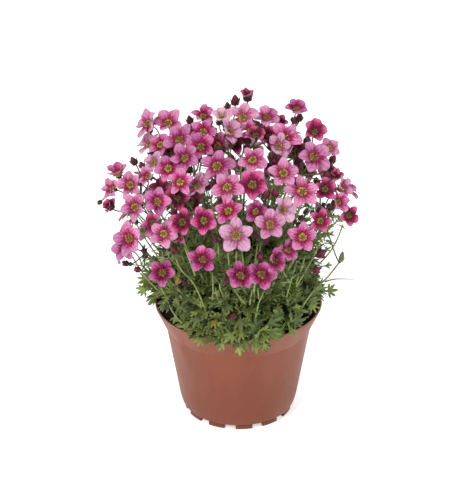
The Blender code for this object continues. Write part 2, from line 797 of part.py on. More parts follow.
def build_soil(material):
    verts, faces = turned(soil_profile(), POT_SIDES)
    edge = inner_band(POT_HEIGHT - SOIL_DROP)
    for v in verts:
        reach = math.hypot(v.x, v.y)
        if v.z > POT_HEIGHT - SOIL_DROP - 0.001 and edge - 0.004 < reach < edge - 0.001:
            angle = math.atan2(v.y, v.x)
            v.z += 0.0010 * math.sin(7 * angle) * math.cos(3 * angle + 1)
    return make_object("soil", (verts, faces), material)


def core_shape():
    # The dense middle of the cushion, with the crown that stands in the soil
    foot = POT_HEIGHT - SOIL_DROP - CROWN_DEPTH
    low = POT_HEIGHT + CORE_PROFILE[0][1]
    profile = [(0, foot), (CROWN_RADIUS - GAP, foot), (CROWN_RADIUS - GAP, low)]
    profile += [(radius, POT_HEIGHT + height) for radius, height in CORE_PROFILE]
    profile.append((0, POT_HEIGHT + CORE_TOP))
    verts, faces = turned(profile, CORE_SIDES)
    for v in verts:
        if v.z > POT_HEIGHT + 0.005:
            angle = math.atan2(v.y, v.x)
            swell = CORE_SWELLS[0] * math.sin(5 * angle + 60 * v.z)
            swell += CORE_SWELLS[1] * math.sin(3 * angle - 140 * v.z)
            v.x *= 1 + swell
            v.y *= 1 + swell
    return verts, faces


def shoot_places():
    # Leafy shoots spread evenly over the core, by a spiral from its top to its edge
    arc = [(0.0, CORE_TOP)] + [row for row in reversed(CORE_PROFILE) if row[1] > SHOOT_LOWEST]
    spans = [math.hypot(b[0] - a[0], b[1] - a[1]) for a, b in zip(arc, arc[1:])]
    areas = [span * (a[0] + b[0]) for span, a, b in zip(spans, arc, arc[1:])]
    places = []
    for k in range(SHOOT_COUNT):
        wanted = sum(areas) * (k + 0.5) / SHOOT_COUNT
        for area, a, b in zip(areas, arc, arc[1:]):
            if wanted <= area:
                break
            wanted -= area
        part = wanted / area
        radius, height = a[0] + (b[0] - a[0]) * part, a[1] + (b[1] - a[1]) * part
        tangent = Vector((b[0] - a[0], 0, b[1] - a[1])).normalized()
        normal = Vector((-tangent.z, 0, tangent.x))
        turn = Matrix.Rotation(k * GOLDEN_ANGLE, 3, "Z")
        places.append((turn @ Vector((radius, 0, POT_HEIGHT + height)), turn @ normal))
    return places


def build_whorls(room, draw):
    # Each shoot ends in a whorl of leaves; its turn, height and size are tried until it
    # is clear of the flowers and the pot, and as far as can be of the other whorls
    whorls = []
    for place, normal in shoot_places():
        axis = (normal + Vector((0, 0, SHOOT_RISE))).normalized()
        outline = whorl_outline(LEAF_LENGTH, draw)
        start = draw.uniform(0, 2 * math.pi)
        best = None
        for size in SHOOT_SIZES:
            for rise in SHOOT_RISES:
                for turn in range(SHOOT_TURNS):
                    spin = start + turn * math.pi / 15
                    frame = frame_at(place + axis * rise, axis, spin)
                    scaled = [(point * size, away) for point, away in outline]
                    solid = star_body(frame, scaled, SHOOT_DEPTH, SHOOT_RADIUS, LEAF_THICKNESS)
                    firm = room.crossings(solid, ("whorls", "stems"))
                    count = 100 * firm + room.crossings(solid)
                    if best is None or count < best[0]:
                        best = (count, frame, scaled, solid, rise)
                if best[0] == 0:
                    break
            if best[0] == 0:
                break
        count, frame, scaled, solid, rise = best
        if count >= 100:
            continue
        room.add("whorls", solid)
        body = Body()
        ring = body.foot(place - axis * SHOOT_ROOT, axis, SHOOT_RADIUS)
        ring = body.grow(ring, [frame.translation - axis * SHOOT_DEPTH], [SHOOT_RADIUS], axis)
        body.star(ring, frame, scaled, LEAF_THICKNESS)
        whorls.append(body.shape())
    return whorls


def main():
    clear_scene()
    draw = random.Random(SEED)
    terracotta = make_material("pot_plastic", (0.35, 0.115, 0.065), 0.5)
    earth = make_material("soil", (0.020, 0.012, 0.008), 0.95)
    green = make_material("leaf_green", (0.12, 0.23, 0.045), 0.6)
    pink = make_material("petal_pink", (0.62, 0.12, 0.33), 0.55)

    build_pot(terracotta)
    build_soil(earth)

    room = Room()
    blooms = place_blooms(room, draw)
    buds = place_buds(room, draw, blooms)
    heads = group_heads(blooms, buds)
    heads.sort(key=lambda head: -head["middle"].z)
    stems = []
    for number, head in enumerate(heads):
        count, body, stem = route_head(head, room, blooms, buds)
        room.add("heads", body)
        room.add("stems", stem)
        stems.append(stem)
        make_object(f"flower_head_{number + 1:02d}", body, pink)

    room.add("pot", turned(pot_profile(), POT_SIDES))
    room.add("soil", turned(soil_profile(), POT_SIDES))
    whorls = build_whorls(room, random.Random(LEAF_SEED))
    fuse("leafy_plant", [core_shape()] + stems + whorls, green)
    print("blooms", len(blooms), "buds", len(buds), "heads", len(heads), "whorls", len(whorls))


main()
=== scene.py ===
# A potted mossy saxifrage in full flower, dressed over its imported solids.
# Metres, up is +Z, and the side that the picture shows looks towards -Y.

import collections
import json
import math
import random

import bmesh
import bpy
import numpy as np
from mathutils import Matrix, Vector, noise

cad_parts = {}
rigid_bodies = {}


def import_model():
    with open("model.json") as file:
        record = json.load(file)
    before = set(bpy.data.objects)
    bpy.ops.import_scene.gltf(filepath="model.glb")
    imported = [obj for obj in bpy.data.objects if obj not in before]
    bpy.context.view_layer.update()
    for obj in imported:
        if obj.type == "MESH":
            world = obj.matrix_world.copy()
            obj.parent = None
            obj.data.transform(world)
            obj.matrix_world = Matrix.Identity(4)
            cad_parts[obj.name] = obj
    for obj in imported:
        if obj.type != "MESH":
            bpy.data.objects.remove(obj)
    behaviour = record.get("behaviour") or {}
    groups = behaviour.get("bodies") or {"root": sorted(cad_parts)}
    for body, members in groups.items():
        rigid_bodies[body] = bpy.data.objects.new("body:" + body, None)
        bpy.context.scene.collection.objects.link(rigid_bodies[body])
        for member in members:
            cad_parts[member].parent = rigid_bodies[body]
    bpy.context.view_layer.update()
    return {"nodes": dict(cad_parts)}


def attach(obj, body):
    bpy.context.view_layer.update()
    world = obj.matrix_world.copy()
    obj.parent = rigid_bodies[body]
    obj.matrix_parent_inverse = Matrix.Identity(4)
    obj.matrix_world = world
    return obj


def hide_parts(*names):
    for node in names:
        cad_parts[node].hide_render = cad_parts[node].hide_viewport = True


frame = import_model()
print("packed solids loaded")

draw = random.Random(7)
uniform = draw.uniform
goldenAngle = math.pi * (3 - math.sqrt(5))
rimHeight = 0.0845
potRim = 0.0588                # how far out the middle of the rim's edge is


def tint(*screen):
    # A colour as seen on screen, 0 to 255, turned into the linear values that shaders take
    return tuple(((c / 255 + 0.055) / 1.055) ** 2.4 if c > 10 else c / 255 / 12.92 for c in screen)


def newObject(name, data, home=None):
    item = bpy.data.objects.new(name, data)
    (home or bpy.context.scene.collection).objects.link(item)
    return item


# Camera: a long lens that looks down on the rim

view = {
    "elevation": 27.5,
    "distance": 1.60,
    "frameWidth": 0.3393,      # what the picture shows across, in the rim's plane
    "centre": (-0.0007, 0.0357),
    "sensor": 36,
}

tip = math.radians(view["elevation"])
viewRight, viewUp = Vector((1, 0, 0)), Vector((0, math.sin(tip), math.cos(tip)))
viewAhead = viewUp.cross(viewRight)
eye = (Vector((0, 0, rimHeight)) + viewRight * view["centre"][0] + viewUp * view["centre"][1]
       - viewAhead * view["distance"])


def addCamera():
    lens = bpy.data.cameras.new("camera")
    lens.sensor_fit = "HORIZONTAL"
    lens.sensor_width = view["sensor"]
    lens.lens = view["sensor"] * view["distance"] / view["frameWidth"]
    lens.clip_start = 0.05
    camera = newObject("camera", lens)
    turned = Matrix((viewRight, viewUp, -viewAhead)).transposed().to_4x4()
    camera.matrix_world = Matrix.Translation(eye) @ turned
    bpy.context.scene.camera = camera


addCamera()


# Many small closed shapes are gathered as arrays and become one mesh. Each point keeps a
# mark (across, along, part) and a tint (pale, deep, chance), which the materials read.

class Gather:
    def __init__(self):
        self.points, self.quads, self.tris, self.marks, self.tints = [], [], [], [], []
        self.count = 0

    def add(self, points, quads, tris, marks, tones):
        self.points.append(points)
        for store, faces, corners in ((self.quads, quads, 4), (self.tris, tris, 3)):
            store.append(np.asarray(faces, dtype=np.int64).reshape(-1, corners) + self.count)
        for store, values in ((self.marks, marks), (self.tints, tones)):
            store.append(np.stack([np.broadcast_to(value, len(points)) for value in values], axis=1))
        self.count += len(points)

    def put(self, shape, part, tones, place=0, axes=np.eye(3), size=1):
        # A tube or turned shape, whose points say how far along they are
        points, quads, tris, along = shape
        self.add(place + points * size @ axes, quads, tris, (0, along, part), tones)

    def build(self, name, material, slot, nodes=()):
        quads, tris = np.concatenate(self.quads), np.concatenate(self.tris)
        mesh = bpy.data.meshes.new(name)
        mesh.from_pydata(np.concatenate(self.points), [], quads.tolist() + tris.tolist())
        for label, values in (("mark", self.marks), ("tint", self.tints)):
            layer = mesh.attributes.new(label, "FLOAT_VECTOR", "POINT")
            layer.data.foreach_set("vector", np.concatenate(values).astype(float).ravel())
        mesh.shade_smooth()
        mesh.materials.append(material)
        piece = newObject(name, mesh)
        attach(piece, "root")
        if nodes:
            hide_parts(*nodes)
        print(name, len(quads) * 2 + len(tris), "triangles")


def unit(values):
    return values / np.linalg.norm(values)


def upBy(height):
    return np.array([0, 0, height])


def wayAt(turn):
    return np.array([math.cos(turn), math.sin(turn), 0])


def scatter(spread, rise):
    # A random vector, level within the spread; its rise is a number or a span to draw from
    level = [uniform(-spread, spread) for _ in range(2)]
    return np.array([*level, uniform(*rise) if isinstance(rise, tuple) else rise])


def frameAlong(axis, lead=(0.31, 0.87, 0.4)):
    # Three unit rows, the last one along the axis
    axis, lead = unit(np.asarray(axis, dtype=float)), np.asarray(lead, dtype=float)
    side = unit(lead - axis * lead.dot(axis))
    return np.array([side, np.cross(axis, side), axis])


def spinMatrix(turn):
    # Turns rows of points about +Z
    return np.array([wayAt(turn), [-math.sin(turn), math.cos(turn), 0], upBy(1)])


def ringFaces(rows, sides):
    return [(row * sides + k, row * sides + after, (row + 1) * sides + after, (row + 1) * sides + k)
            for row in range(rows - 1) for k in range(sides) for after in [(k + 1) % sides]]


def tubeShape(path, radii, sides=6):
    # A stem through the points with closed ends, each row square to the path
    ahead = np.gradient(path, axis=0)
    side = frameAlong(ahead[0])[0]
    turns = np.arange(sides)[:, None] * 2 * math.pi / sides
    rings = []
    for point, along, radius in zip(path, ahead, radii):
        along = unit(along)
        side = unit(side - along * side.dot(along))
        rings.append(point + radius * (np.cos(turns) * side + np.sin(turns) * np.cross(along, side)))
    last = (len(path) - 1) * sides
    tris = [(0, k + 1, k) for k in range(1, sides - 1)]
    tris += [(last, last + k, last + k + 1) for k in range(1, sides - 1)]
    along = np.repeat(np.linspace(0, 1, len(path)), sides)
    return np.concatenate(rings), ringFaces(len(path), sides), tris, along


def turnedShape(profile, sides, ribs=0, ribDepth=0.0):
    # A profile of (radius, height) from its foot to its top, closed at both ends
    turns = np.arange(sides) * 2 * math.pi / sides
    swell = 1 + ribDepth * np.cos(ribs * turns)
    rows = [np.stack([r * np.cos(turns) * swell, r * np.sin(turns) * swell, np.full(sides, h)], axis=1)
            for r, h in profile]
    ends = np.array([upBy(profile[0][1]), upBy(profile[-1][1])])
    foot, last = len(profile) * sides, (len(profile) - 1) * sides
    tris = []
    for k in range(sides):
        after = (k + 1) % sides
        tris += [(foot, after, k), (foot + 1, last + k, last + after)]
    along = np.concatenate([np.repeat(np.linspace(0, 1, len(profile)), sides), [0, 1]])
    return np.concatenate(rows + [ends]), ringFaces(len(profile), sides), tris, along


def bezierPath(start, bend, end, count):
    t = np.linspace(0, 1, count)[:, None]
    return start * (1 - t) ** 2 + bend * 2 * t * (1 - t) + end * t * t


def smoothPath(corners, count=5):
    # A path that keeps near the corners and starts and ends on them
    path = [corners[0]]
    for k in range(1, len(corners) - 1):
        start = corners[0] if k == 1 else (corners[k - 1] + corners[k]) / 2
        end = corners[-1] if k == len(corners) - 2 else (corners[k] + corners[k + 1]) / 2
        path += list(bezierPath(start, corners[k], end, count))[1:]
    return np.array(path)


def gridSteps(rows, columns):
    # How far along each row of a sheet is, and how far across each column
    return np.linspace(0, 1, rows)[:, None], np.linspace(-1, 1, columns)[None, :]


def gridFaces(rows, columns):
    # A closed sheet: a top and a bottom grid and the edge between them
    def at(side, row, column):
        return side * rows * columns + row * columns + column

    quads = []
    for r in range(rows - 1):
        for c in range(columns - 1):
            quads.append((at(0, r, c), at(0, r, c + 1), at(0, r + 1, c + 1), at(0, r + 1, c)))
            quads.append((at(1, r, c), at(1, r + 1, c), at(1, r + 1, c + 1), at(1, r, c + 1)))
    edge = [(0, c) for c in range(columns)] + [(r, columns - 1) for r in range(1, rows)]
    edge += [(rows - 1, c) for c in range(columns - 2, -1, -1)] + [(r, 0) for r in range(rows - 2, 0, -1)]
    for here, after in zip(edge, edge[1:] + edge[:1]):
        quads.append((at(0, *here), at(1, *here), at(1, *after), at(0, *after)))
    return quads


def sheetPoints(x, y, z, thickness):
    top = np.stack(np.broadcast_arrays(x, y, z), axis=-1)
    normal = np.cross(np.gradient(top, axis=0), np.gradient(top, axis=1))
    normal /= np.linalg.norm(normal, axis=-1, keepdims=True)
    return np.concatenate([top.reshape(-1, 3), (top - normal * thickness).reshape(-1, 3)])


# What the flower heads' solids say: where each bloom and bud stands, and its stem's top

solidSizes = {
    "stemRadius": 0.0008,
    "stubLength": 0.0030,
    "bloomBase": 0.0035,       # from a bloom's place down to its pedicel's end
    "budRadius": 0.0024,
    "budBase": 0.0024,
    "budTip": 0.0045,
    "budRadiusLeast": 0.0015,
    "bloomFanLeast": 14,       # faces that meet in a bloom's middle
    "innerArms": 5,
    "curls": (0.45, 0.25, 0.70),
    "same": 1e-5,
}


def readHead(node):
    keys, places, index = {}, [], []
    for v in node.data.vertices:
        key = tuple(round(c, 6) for c in v.co)
        index.append(keys.setdefault(key, len(places)))
        if len(keys) > len(places):
            places.append(np.array(v.co))
    node.data.calc_loop_triangles()
    faces = [tuple(index[k] for k in t.vertices) for t in node.data.loop_triangles]
    around = collections.defaultdict(list)
    for face in faces:
        if len(set(face)) == 3:
            for k in face:
                around[k].append(face)
    head = {"blooms": [], "buds": [], "points": np.array(places)}
    slope = solidSizes["budTip"] / solidSizes["budRadius"]
    for k, fan in around.items():
        near = sorted(set(i for face in fan for i in face) - {k})
        if len(fan) >= solidSizes["bloomFanLeast"]:
            head["blooms"].append(readBloom(places, k, fan, near))
        elif len(fan) == 3 and len(near) == 3:
            ring = np.array([places[i] for i in near])
            middle = ring.mean(axis=0)
            radius, tall = np.linalg.norm(ring - middle, axis=1), np.linalg.norm(places[k] - middle)
            if radius.min() > solidSizes["budRadiusLeast"] and abs(tall / radius.mean() - slope) < 0.05:
                head["buds"].append({"place": middle, "axis": unit(places[k] - middle),
                                     "scale": radius.mean() / solidSizes["budRadius"]})
    for face in faces:
        corners = np.array([places[k] for k in face])
        middle = corners.mean(axis=0)
        reach = np.linalg.norm(corners - middle, axis=1)
        if np.abs(reach - solidSizes["stemRadius"]).max() < solidSizes["same"]:
            rise = -unit(np.cross(corners[1] - corners[0], corners[2] - corners[0]))
            head.update(foot=middle, rise=rise, fork=middle + rise * solidSizes["stubLength"])
    head["middle"] = np.mean([b["place"] for b in head["blooms"]], axis=0)
    return head


def readBloom(places, centre, fan, near):
    axis = np.zeros(3)
    for face in fan:
        a, b, c = (places[k] for k in face)
        axis += np.cross(b - a, c - a)
    axis = unit(axis)
    arms = sorted((np.array(places[k]) - places[centre] for k in near), key=np.linalg.norm)
    outer = arms[solidSizes["innerArms"]:]
    radius = np.mean([np.linalg.norm(arm) for arm in outer])
    cup = math.asin(np.mean([arm.dot(axis) for arm in outer]) / radius)
    return {"place": places[centre], "axis": axis, "radius": radius, "cup": cup, "lead": -arms[0]}


headNames = sorted(name for name in frame["nodes"] if name.startswith("flower_head"))
heads = {name: readHead(frame["nodes"][name]) for name in headNames}
blooms = [bloom for head in heads.values() for bloom in head["blooms"]]
solidBuds = [bud for head in heads.values() for bud in head["buds"]]
print("flower heads", len(heads), "blooms", len(blooms), "buds", len(solidBuds))


# Each line of sight is given by where it meets the rim's plane in the picture, mm right of and
# above the rim's centre

def sightRay(across, upward):
    return (viewRight * (across / 1000 - view["centre"][0]) + viewUp * (upward / 1000 - view["centre"][1])
            + viewAhead * view["distance"])


def seenAt(place):
    # Where the camera sees this place, and how far behind the rim's plane it lies, mm
    ray = Vector(place) - eye
    depth = ray.dot(viewAhead)
    shrink = view["distance"] / depth
    return ((ray.dot(viewRight) * shrink + view["centre"][0]) * 1000,
            (ray.dot(viewUp) * shrink + view["centre"][1]) * 1000, (depth - view["distance"]) * 1000)


def placeBehind(across, upward, depth):
    return np.array(eye + sightRay(across, upward) * (1 + depth / 1000 / view["distance"]))


def placeInFront(across, upward, forward):
    # The place on the line that lies so far in front of the pot's axis
    ray = sightRay(across, upward)
    return np.array(eye + ray * ((-forward / 1000 - eye.y) / ray.y))


# Blooms and buds in the shade behind the front ones, each on the nearest head: where they are seen, then how
# pale, how deep and the radius, or the bud's scale. Their deep tones are partly the blooms' own crimson and
# partly painted shade

shadedBlooms = [
    (-30.0, 115.0, 0, 0.9, 8.5), (-15.0, 109.5, 0.1, 0.2, 9.5), (-3.2, 112.5, 0, 0.9, 8.5),
    (39.5, 107.0, 0, 1, 8.5), (47.5, 91.5, 0, 1, 7.5), (-32.0, 69.5, 0, 0.85, 9.0),
    (21.5, 116.0, 0, 0.8, 8.0), (-47.0, 106.0, 0, 0.75, 8.0), (-14.0, 93.0, 0, 0.9, 8.0),
    (24.0, 93.0, 0, 0.9, 7.5), (-56.0, 78.0, 0, 0.9, 8.0), (62.0, 93.0, 0, 0.9, 7.0),
]
shadedBuds = [
    (-63.5, 121.5, 1.1), (-18.2, 120.5, 1.0), (-21.3, 127.3, 1.2), (-60.8, 104.8, 1.2), (-35.0, 93.0, 1.0),
    (-28.5, 100.6, 1.0), (15.8, 122.1, 0.9), (23.7, 121.2, 0.9), (43.2, 100.6, 1.1), (17.5, 79.0, 1.0),
    (30.0, 101.0, 0.9), (-70.0, 84.0, 0.9), (-3.0, 98.0, 0.9), (9.0, 101.0, 0.9), (46.5, 72.0, 1.1),
    (-12.0, 70.0, 1.0), (66.0, 66.0, 1.0),
]
shade = {
    "bloomsBehind": 20,        # mm behind the front blooms beside them
    "budsBehind": 9,
    "overFork": 0.006,
}


def addShaded():
    facing = [bloom["seen"] for bloom in blooms if bloom["axis"][1] < 0]
    for across, upward, *rest in shadedBlooms + shadedBuds:
        depth = min((math.hypot(x - across, y - upward), z) for x, y, z in facing)[1]
        isBloom = len(rest) == 3
        place = placeBehind(across, upward, depth + shade["bloomsBehind" if isBloom else "budsBehind"])
        forks = {name: head["fork"] + head["rise"] * shade["overFork"] for name, head in heads.items()}
        head = heads[min(forks, key=lambda name: np.linalg.norm(forks[name] - place))]
        lean = uniform(-0.4, 0.4)
        axis = unit(np.array([0.3 * place[0] / 0.08 + lean, -0.6, 0.8 + uniform(-0.3, 0.3)]))
        if isBloom:
            pale, deep, radius = rest
            head["blooms"].append({
                "place": place, "axis": axis, "radius": radius / 1000, "cup": uniform(0.3, 0.5),
                "lead": frameAlong(axis)[0], "pale": pale, "deep": deep, "chance": draw.random()})
        else:
            head["buds"].append({"place": place, "axis": axis, "scale": rest[0]})


# How pale or deep each bloom is, 0 to 1, and its size against its solid's. Deep tones are partly a bloom's
# own crimson and partly painted shade where it lies in shade

bloomTones = [
    (-28.9, 80.7, 0.6, 0.25, 1), (-25.0, 130.4, 0, 0.35, 1.05), (-7.1, 119.6, 0.6, 0, 1),
    (-11.8, 129.6, 1, 0, 1.1), (-26.6, 108.6, 0, 0.35, 1.15), (-43.6, 73.2, 0, 1, 1.05),
    (-24.4, 56.6, 0, 0.58, 1.05), (-63.2, 110.7, 0.65, 0, 1.1), (-60.0, 98.1, 0.75, 0, 1.1),
    (-63.9, 87.9, 0.2, 0.4, 1.1), (-60.0, 54.3, 0, 0.6, 1.1), (-25.8, 28.5, 0, 0.46, 1.05),
    (-53.9, 18.9, 0, 0.52, 1.05), (-1.6, 46.2, 0.65, 0, 1.05), (3.2, 129.4, 0.4, 0, 1),
    (53.9, 119.6, 0, 0.65, 1.1), (64.6, 107.9, 0.4, 0, 1.0), (28.2, 109.3, 0.5, 0, 1.15),
    (10.1, 82.0, 0, 0.58, 1.1), (61.5, 79.1, 0, 0.75, 1.1), (73.5, 80.2, 0.4, 0, 1.2),
    (78.3, 60.2, 0, 0.75, 1.1), (30.4, 63.9, 0.8, 0, 1.1), (12.3, 63.1, 0, 0.4, 1.05),
    (58.2, 56.4, 0, 0.6, 1.1), (34.9, 35.3, 0, 0.4, 1.1), (-41.1, 45.7, 0, 0.4, 1.2),
    (12.3, 117.1, 0, 0.95, 1), (-49.8, 93.6, 0, 0.15, 1.05), (-7.2, 63.5, 0, 0.3, 1),
    (45.4, 44.8, 0.1, 0.2, 1), (1.4, 17.1, 0, 0.5, 1.05), (16.3, 18.1, 0, 0.5, 1.05),
    (24.7, 28.0, 0, 0.58, 1.1), (41.1, 136.0, 0, 0.35, 1.15), (8.6, 120.0, 0, 0.4, 1.1),
    (22.5, 53.9, 0.35, 0, 1), (45.4, 77.0, 0.2, 0, 1.02), (53.5, 101.4, 0.2, 0.05, 1.06),
    (32.0, 90.1, 0.25, 0, 1.03), (-63.6, 125.4, 0.3, 0, 1.1), (-49.6, 125.7, 0.2, 0, 1.08),
    (-41.6, 113.6, 0.1, 0, 1.1), (32.9, 114.9, 0.1, 0.05, 1.25), (20.6, 129.4, 0.2, 0, 1.15),
    (-55.6, 110.5, 0, 0.1, 1.25), (-25.1, 119.6, 0, 0.15, 1.15), (-89.5, 79.3, 0.2, 0, 1.2),
    (-85.7, 89.6, 0, 0.3, 1.15), (70.6, 69.7, 0.1, 0.3, 1.2), (-39.8, 55.4, 0, 0.8, 1),
]

# Blooms that the picture shows leaning another way: across, up, then the way they face
bloomLeans = [
    (53.9, 119.6, (0.15, -0.60, 0.78)), (64.6, 107.9, (0.10, -0.75, 0.65)),
    (-85.7, 89.6, (-0.25, -0.05, 0.97)), (-63.2, 110.7, (-0.55, -0.10, 0.83)),
    (41.1, 136.0, (0.10, -0.40, 0.91)), (-53.9, 18.9, (-0.20, -0.72, 0.62)),
    (1.4, 17.1, (0.05, -0.76, 0.65)), (16.3, 18.1, (0.08, -0.76, 0.65)), (-25.8, 28.5, (-0.05, -0.72, 0.68)),
]
greenBud = {"seen": (73.5, 29.4), "axis": (0.12, -0.25, 1.0)}

toneLook = {
    "pale": 0.25,              # how pale or deep a bloom not listed may be
    "deep": 0.15,
    "lowUnder": (60, 30),      # mm: blooms lower than the first are in shade, fully from the second
    "paintedShadeLow": 0.8,
    "backFrom": 0.04,
    "backOdd": 0.45,           # the part of those at the back that differ, and how
    "backTones": [(0.6, 0), (0, 0.45), (0.9, 0), (0, 0.8)],
}


def foremostAt(across, upward):
    near = [b for b in blooms if math.hypot(b["seen"][0] - across, b["seen"][1] - upward) < 2.0]
    return min(near, key=lambda bloom: bloom["seen"][2])


def giveTones():
    look = toneLook
    top, bottom = look["lowUnder"]
    for bloom in blooms:
        bloom.update(pale=uniform(0, look["pale"]), deep=uniform(0, look["deep"]))
        bloom["seen"] = seenAt(bloom["place"])
        # Painted shade: lower blooms get a higher chance, which the petal and heart colours turn darker
        low = look["paintedShadeLow"] * min(max((top - bloom["seen"][1]) / bottom, 0), 1)
        bloom["chance"] = draw.random() * (1 - low) + low
        if bloom["place"][1] > look["backFrom"] and draw.random() < look["backOdd"]:
            bloom["pale"], bloom["deep"] = draw.choice(look["backTones"])
    for across, upward, pale, deep, size in bloomTones:
        bloom = foremostAt(across, upward)
        bloom.update(pale=pale, deep=deep, radius=bloom["radius"] * size)
    for across, upward, axis in bloomLeans:
        foremostAt(across, upward)["axis"] = unit(np.array(axis))
    bud = min(solidBuds, key=lambda bud: math.dist(seenAt(bud["place"])[:2], greenBud["seen"]))
    bud.update(green=True, axis=unit(np.array(greenBud["axis"])))


giveTones()
addShaded()


# Petals

petalLook = {
    "rows": 10,
    "columns": 9,
    "length": 1.14,            # over the bloom's radius, as a bent petal reaches less far
    "width": (0.37, 0.46),     # half a petal's width over the bloom's radius
    "claw": 0.34,              # its foot's width over its widest
    "widestAt": 0.60,
    "round": (0.40, 0.56),     # how far back a petal's edges end
    "blunt": (1.6, 2.4),
    "notch": 0.025,
    "notchWidth": 0.25,
    "thickness": 0.00020,
    "cup": (-0.24, 0.30),      # how its rise differs from its bloom's
    "recurve": (6, 40),        # degrees that a tip bends back
    "edgeRise": (0.20, 0.10),  # over the bloom's radius, at its foot and its tip
    "foldDepth": 0.065,
    "foldWidth": 0.22,
    "wave": 0.085,
    "roll": 0.22,              # one edge lies over its neighbour
    "footRadius": 0.0011,
    "chance": 0.12,            # how far petals of one bloom differ in tone
}

petalFaces = gridFaces(petalLook["rows"], petalLook["columns"])


def petalPoints(radius, cup, recurve, roll, shape, wave, phase):
    p = petalLook
    t, s = gridSteps(p["rows"], p["columns"])
    notch = shape["notch"] * np.exp(-(s / p["notchWidth"]) ** 2)
    reach = t * (1 - shape["round"] * np.abs(s) ** shape["blunt"] - notch)
    widen = p["claw"] + (1 - p["claw"]) * np.sin(np.clip(reach / p["widestAt"], 0, 1) * math.pi / 2)
    spread = radius * shape["width"] * widen * s
    # the middle line, followed in small steps as it rises and bends back
    steps = np.linspace(0, 1.1, 45)
    slope = cup * (1.5 - 0.8 * steps) - recurve * steps ** 2.4
    out, rise = (np.concatenate([[0], np.cumsum(part(slope[:-1]) * steps[1])]) for part in (np.cos, np.sin))
    length = radius * p["length"] - p["footRadius"]
    edge = radius * (p["edgeRise"][0] * (1 - t) + p["edgeRise"][1] * t) * s ** 2
    z = length * np.interp(reach, steps, rise) + edge
    z = z - radius * p["foldDepth"] * np.exp(-(s / p["foldWidth"]) ** 2)
    z = z + wave * radius * np.sin(phase + 3.0 * s + 3.5 * t) * t ** 1.5 + roll * spread
    points = sheetPoints(p["footRadius"] + length * np.interp(reach, steps, out), spread, z, p["thickness"])
    marks = np.tile((s + 0 * t).ravel(), 2), np.tile(reach.ravel(), 2), np.repeat([0.0, 1.0], reach.size)
    return points, marks


def addPetals(gather, bloom):
    axes = frameAlong(bloom["axis"], bloom["lead"])
    p = petalLook
    width = uniform(*p["width"])
    openness = 1 + bloom.get("opening", 0)
    for petal in range(5):
        turn = petal * 2 * math.pi / 5 + uniform(-0.09, 0.09)
        shape = {"round": uniform(*p["round"]), "blunt": uniform(*p["blunt"]),
                 "notch": max(0, draw.gauss(0, p["notch"])), "width": width * uniform(0.93, 1.07)}
        points, marks = petalPoints(
            bloom["radius"] * uniform(0.95, 1.07), bloom["cup"] + uniform(*p["cup"]) * openness,
            math.radians(uniform(*p["recurve"])) * openness, p["roll"] * uniform(0.4, 1.3), shape,
            p["wave"] * uniform(0.3, 1.6), uniform(0, 6.28))
        chance = (bloom["chance"] + uniform(-p["chance"], p["chance"])) % 1
        gather.add(bloom["place"] + points @ spinMatrix(turn) @ axes, petalFaces, [], marks,
                   (bloom["pale"], bloom["deep"], chance))


# Hearts: the ovary with its two styles, the ring of stamens and the disc between them

usualRadius = 0.0098           # a bloom's radius that the sizes of its small parts suit

heartLook = {
    "disc": [(0.0029, -0.0004), (0.0032, 0.0002), (0.0026, 0.0008), (0.0017, 0.0008), (0.0012, 0.0012),
             (0.0008, 0.0017), (0.0003, 0.0019)],
    "ovaryRadius": 0.0015,
    "style": [(0.0004, 0.0015), (0.0008, 0.0022), (0.0012, 0.0026)],
    "styleRadii": (0.00032, 0.00026, 0.00030),
    "stamenCount": 10,
    "stamenFoot": 0.0017,
    "stamenReach": (0.0018, 0.0026),
    "stamenRise": (0.0010, 0.0018),
    "stamenRadii": (0.00018, 0.00015, 0.00012),
    "antherRadius": 0.00054,
    "anther": [(0.25, -1.1), (0.9, -0.6), (1, 0.2), (0.65, 0.9), (0.15, 1.2)],
}


def settingOf(bloom):
    # Where a bloom's small parts stand: the place, the axes, their size and their tones
    return (bloom["place"], frameAlong(bloom["axis"], bloom["lead"]), bloom["radius"] / usualRadius,
            (bloom["pale"], bloom["deep"], bloom["chance"]))


def addHeart(gather, bloom):
    # Ovary 0, filament 1, anther 2, disc 3
    place, axes, size, tones = settingOf(bloom)
    look = heartLook
    disc = turnedShape(look["disc"], 12, 2, 0.08)
    part = np.where(np.linalg.norm(disc[0][:, :2], axis=1) > look["ovaryRadius"], 3.0, 0.0)
    gather.put(disc, part, tones, place, axes, size)
    for side in (-1, 1):
        path = np.array([[side * reach, 0, rise] for reach, rise in look["style"]]) * size
        gather.put(tubeShape(path, look["styleRadii"], 5), 0.0, tones, place, axes)
    for k in range(look["stamenCount"]):
        way = wayAt(2 * math.pi * (k + uniform(-0.25, 0.25)) / look["stamenCount"])
        foot = way * look["stamenFoot"] + upBy(0.0002)
        tip = way * uniform(*look["stamenReach"]) + upBy(uniform(*look["stamenRise"]))
        path = bezierPath(foot, (foot + tip) / 2 + way * 0.0003, tip, 3) * size
        gather.put(tubeShape(path, look["stamenRadii"], 4), 1.0, tones, place, axes)
        points, *rest = turnedShape([(look["antherRadius"] * r, look["antherRadius"] * h)
                                     for r, h in look["anther"]], 6)
        lean = frameAlong(way + upBy(uniform(0.2, 1.2)))
        gather.put((points @ lean + tip, *rest), 2.0, tones, place, axes, size)


# Calyces, pedicels and buds

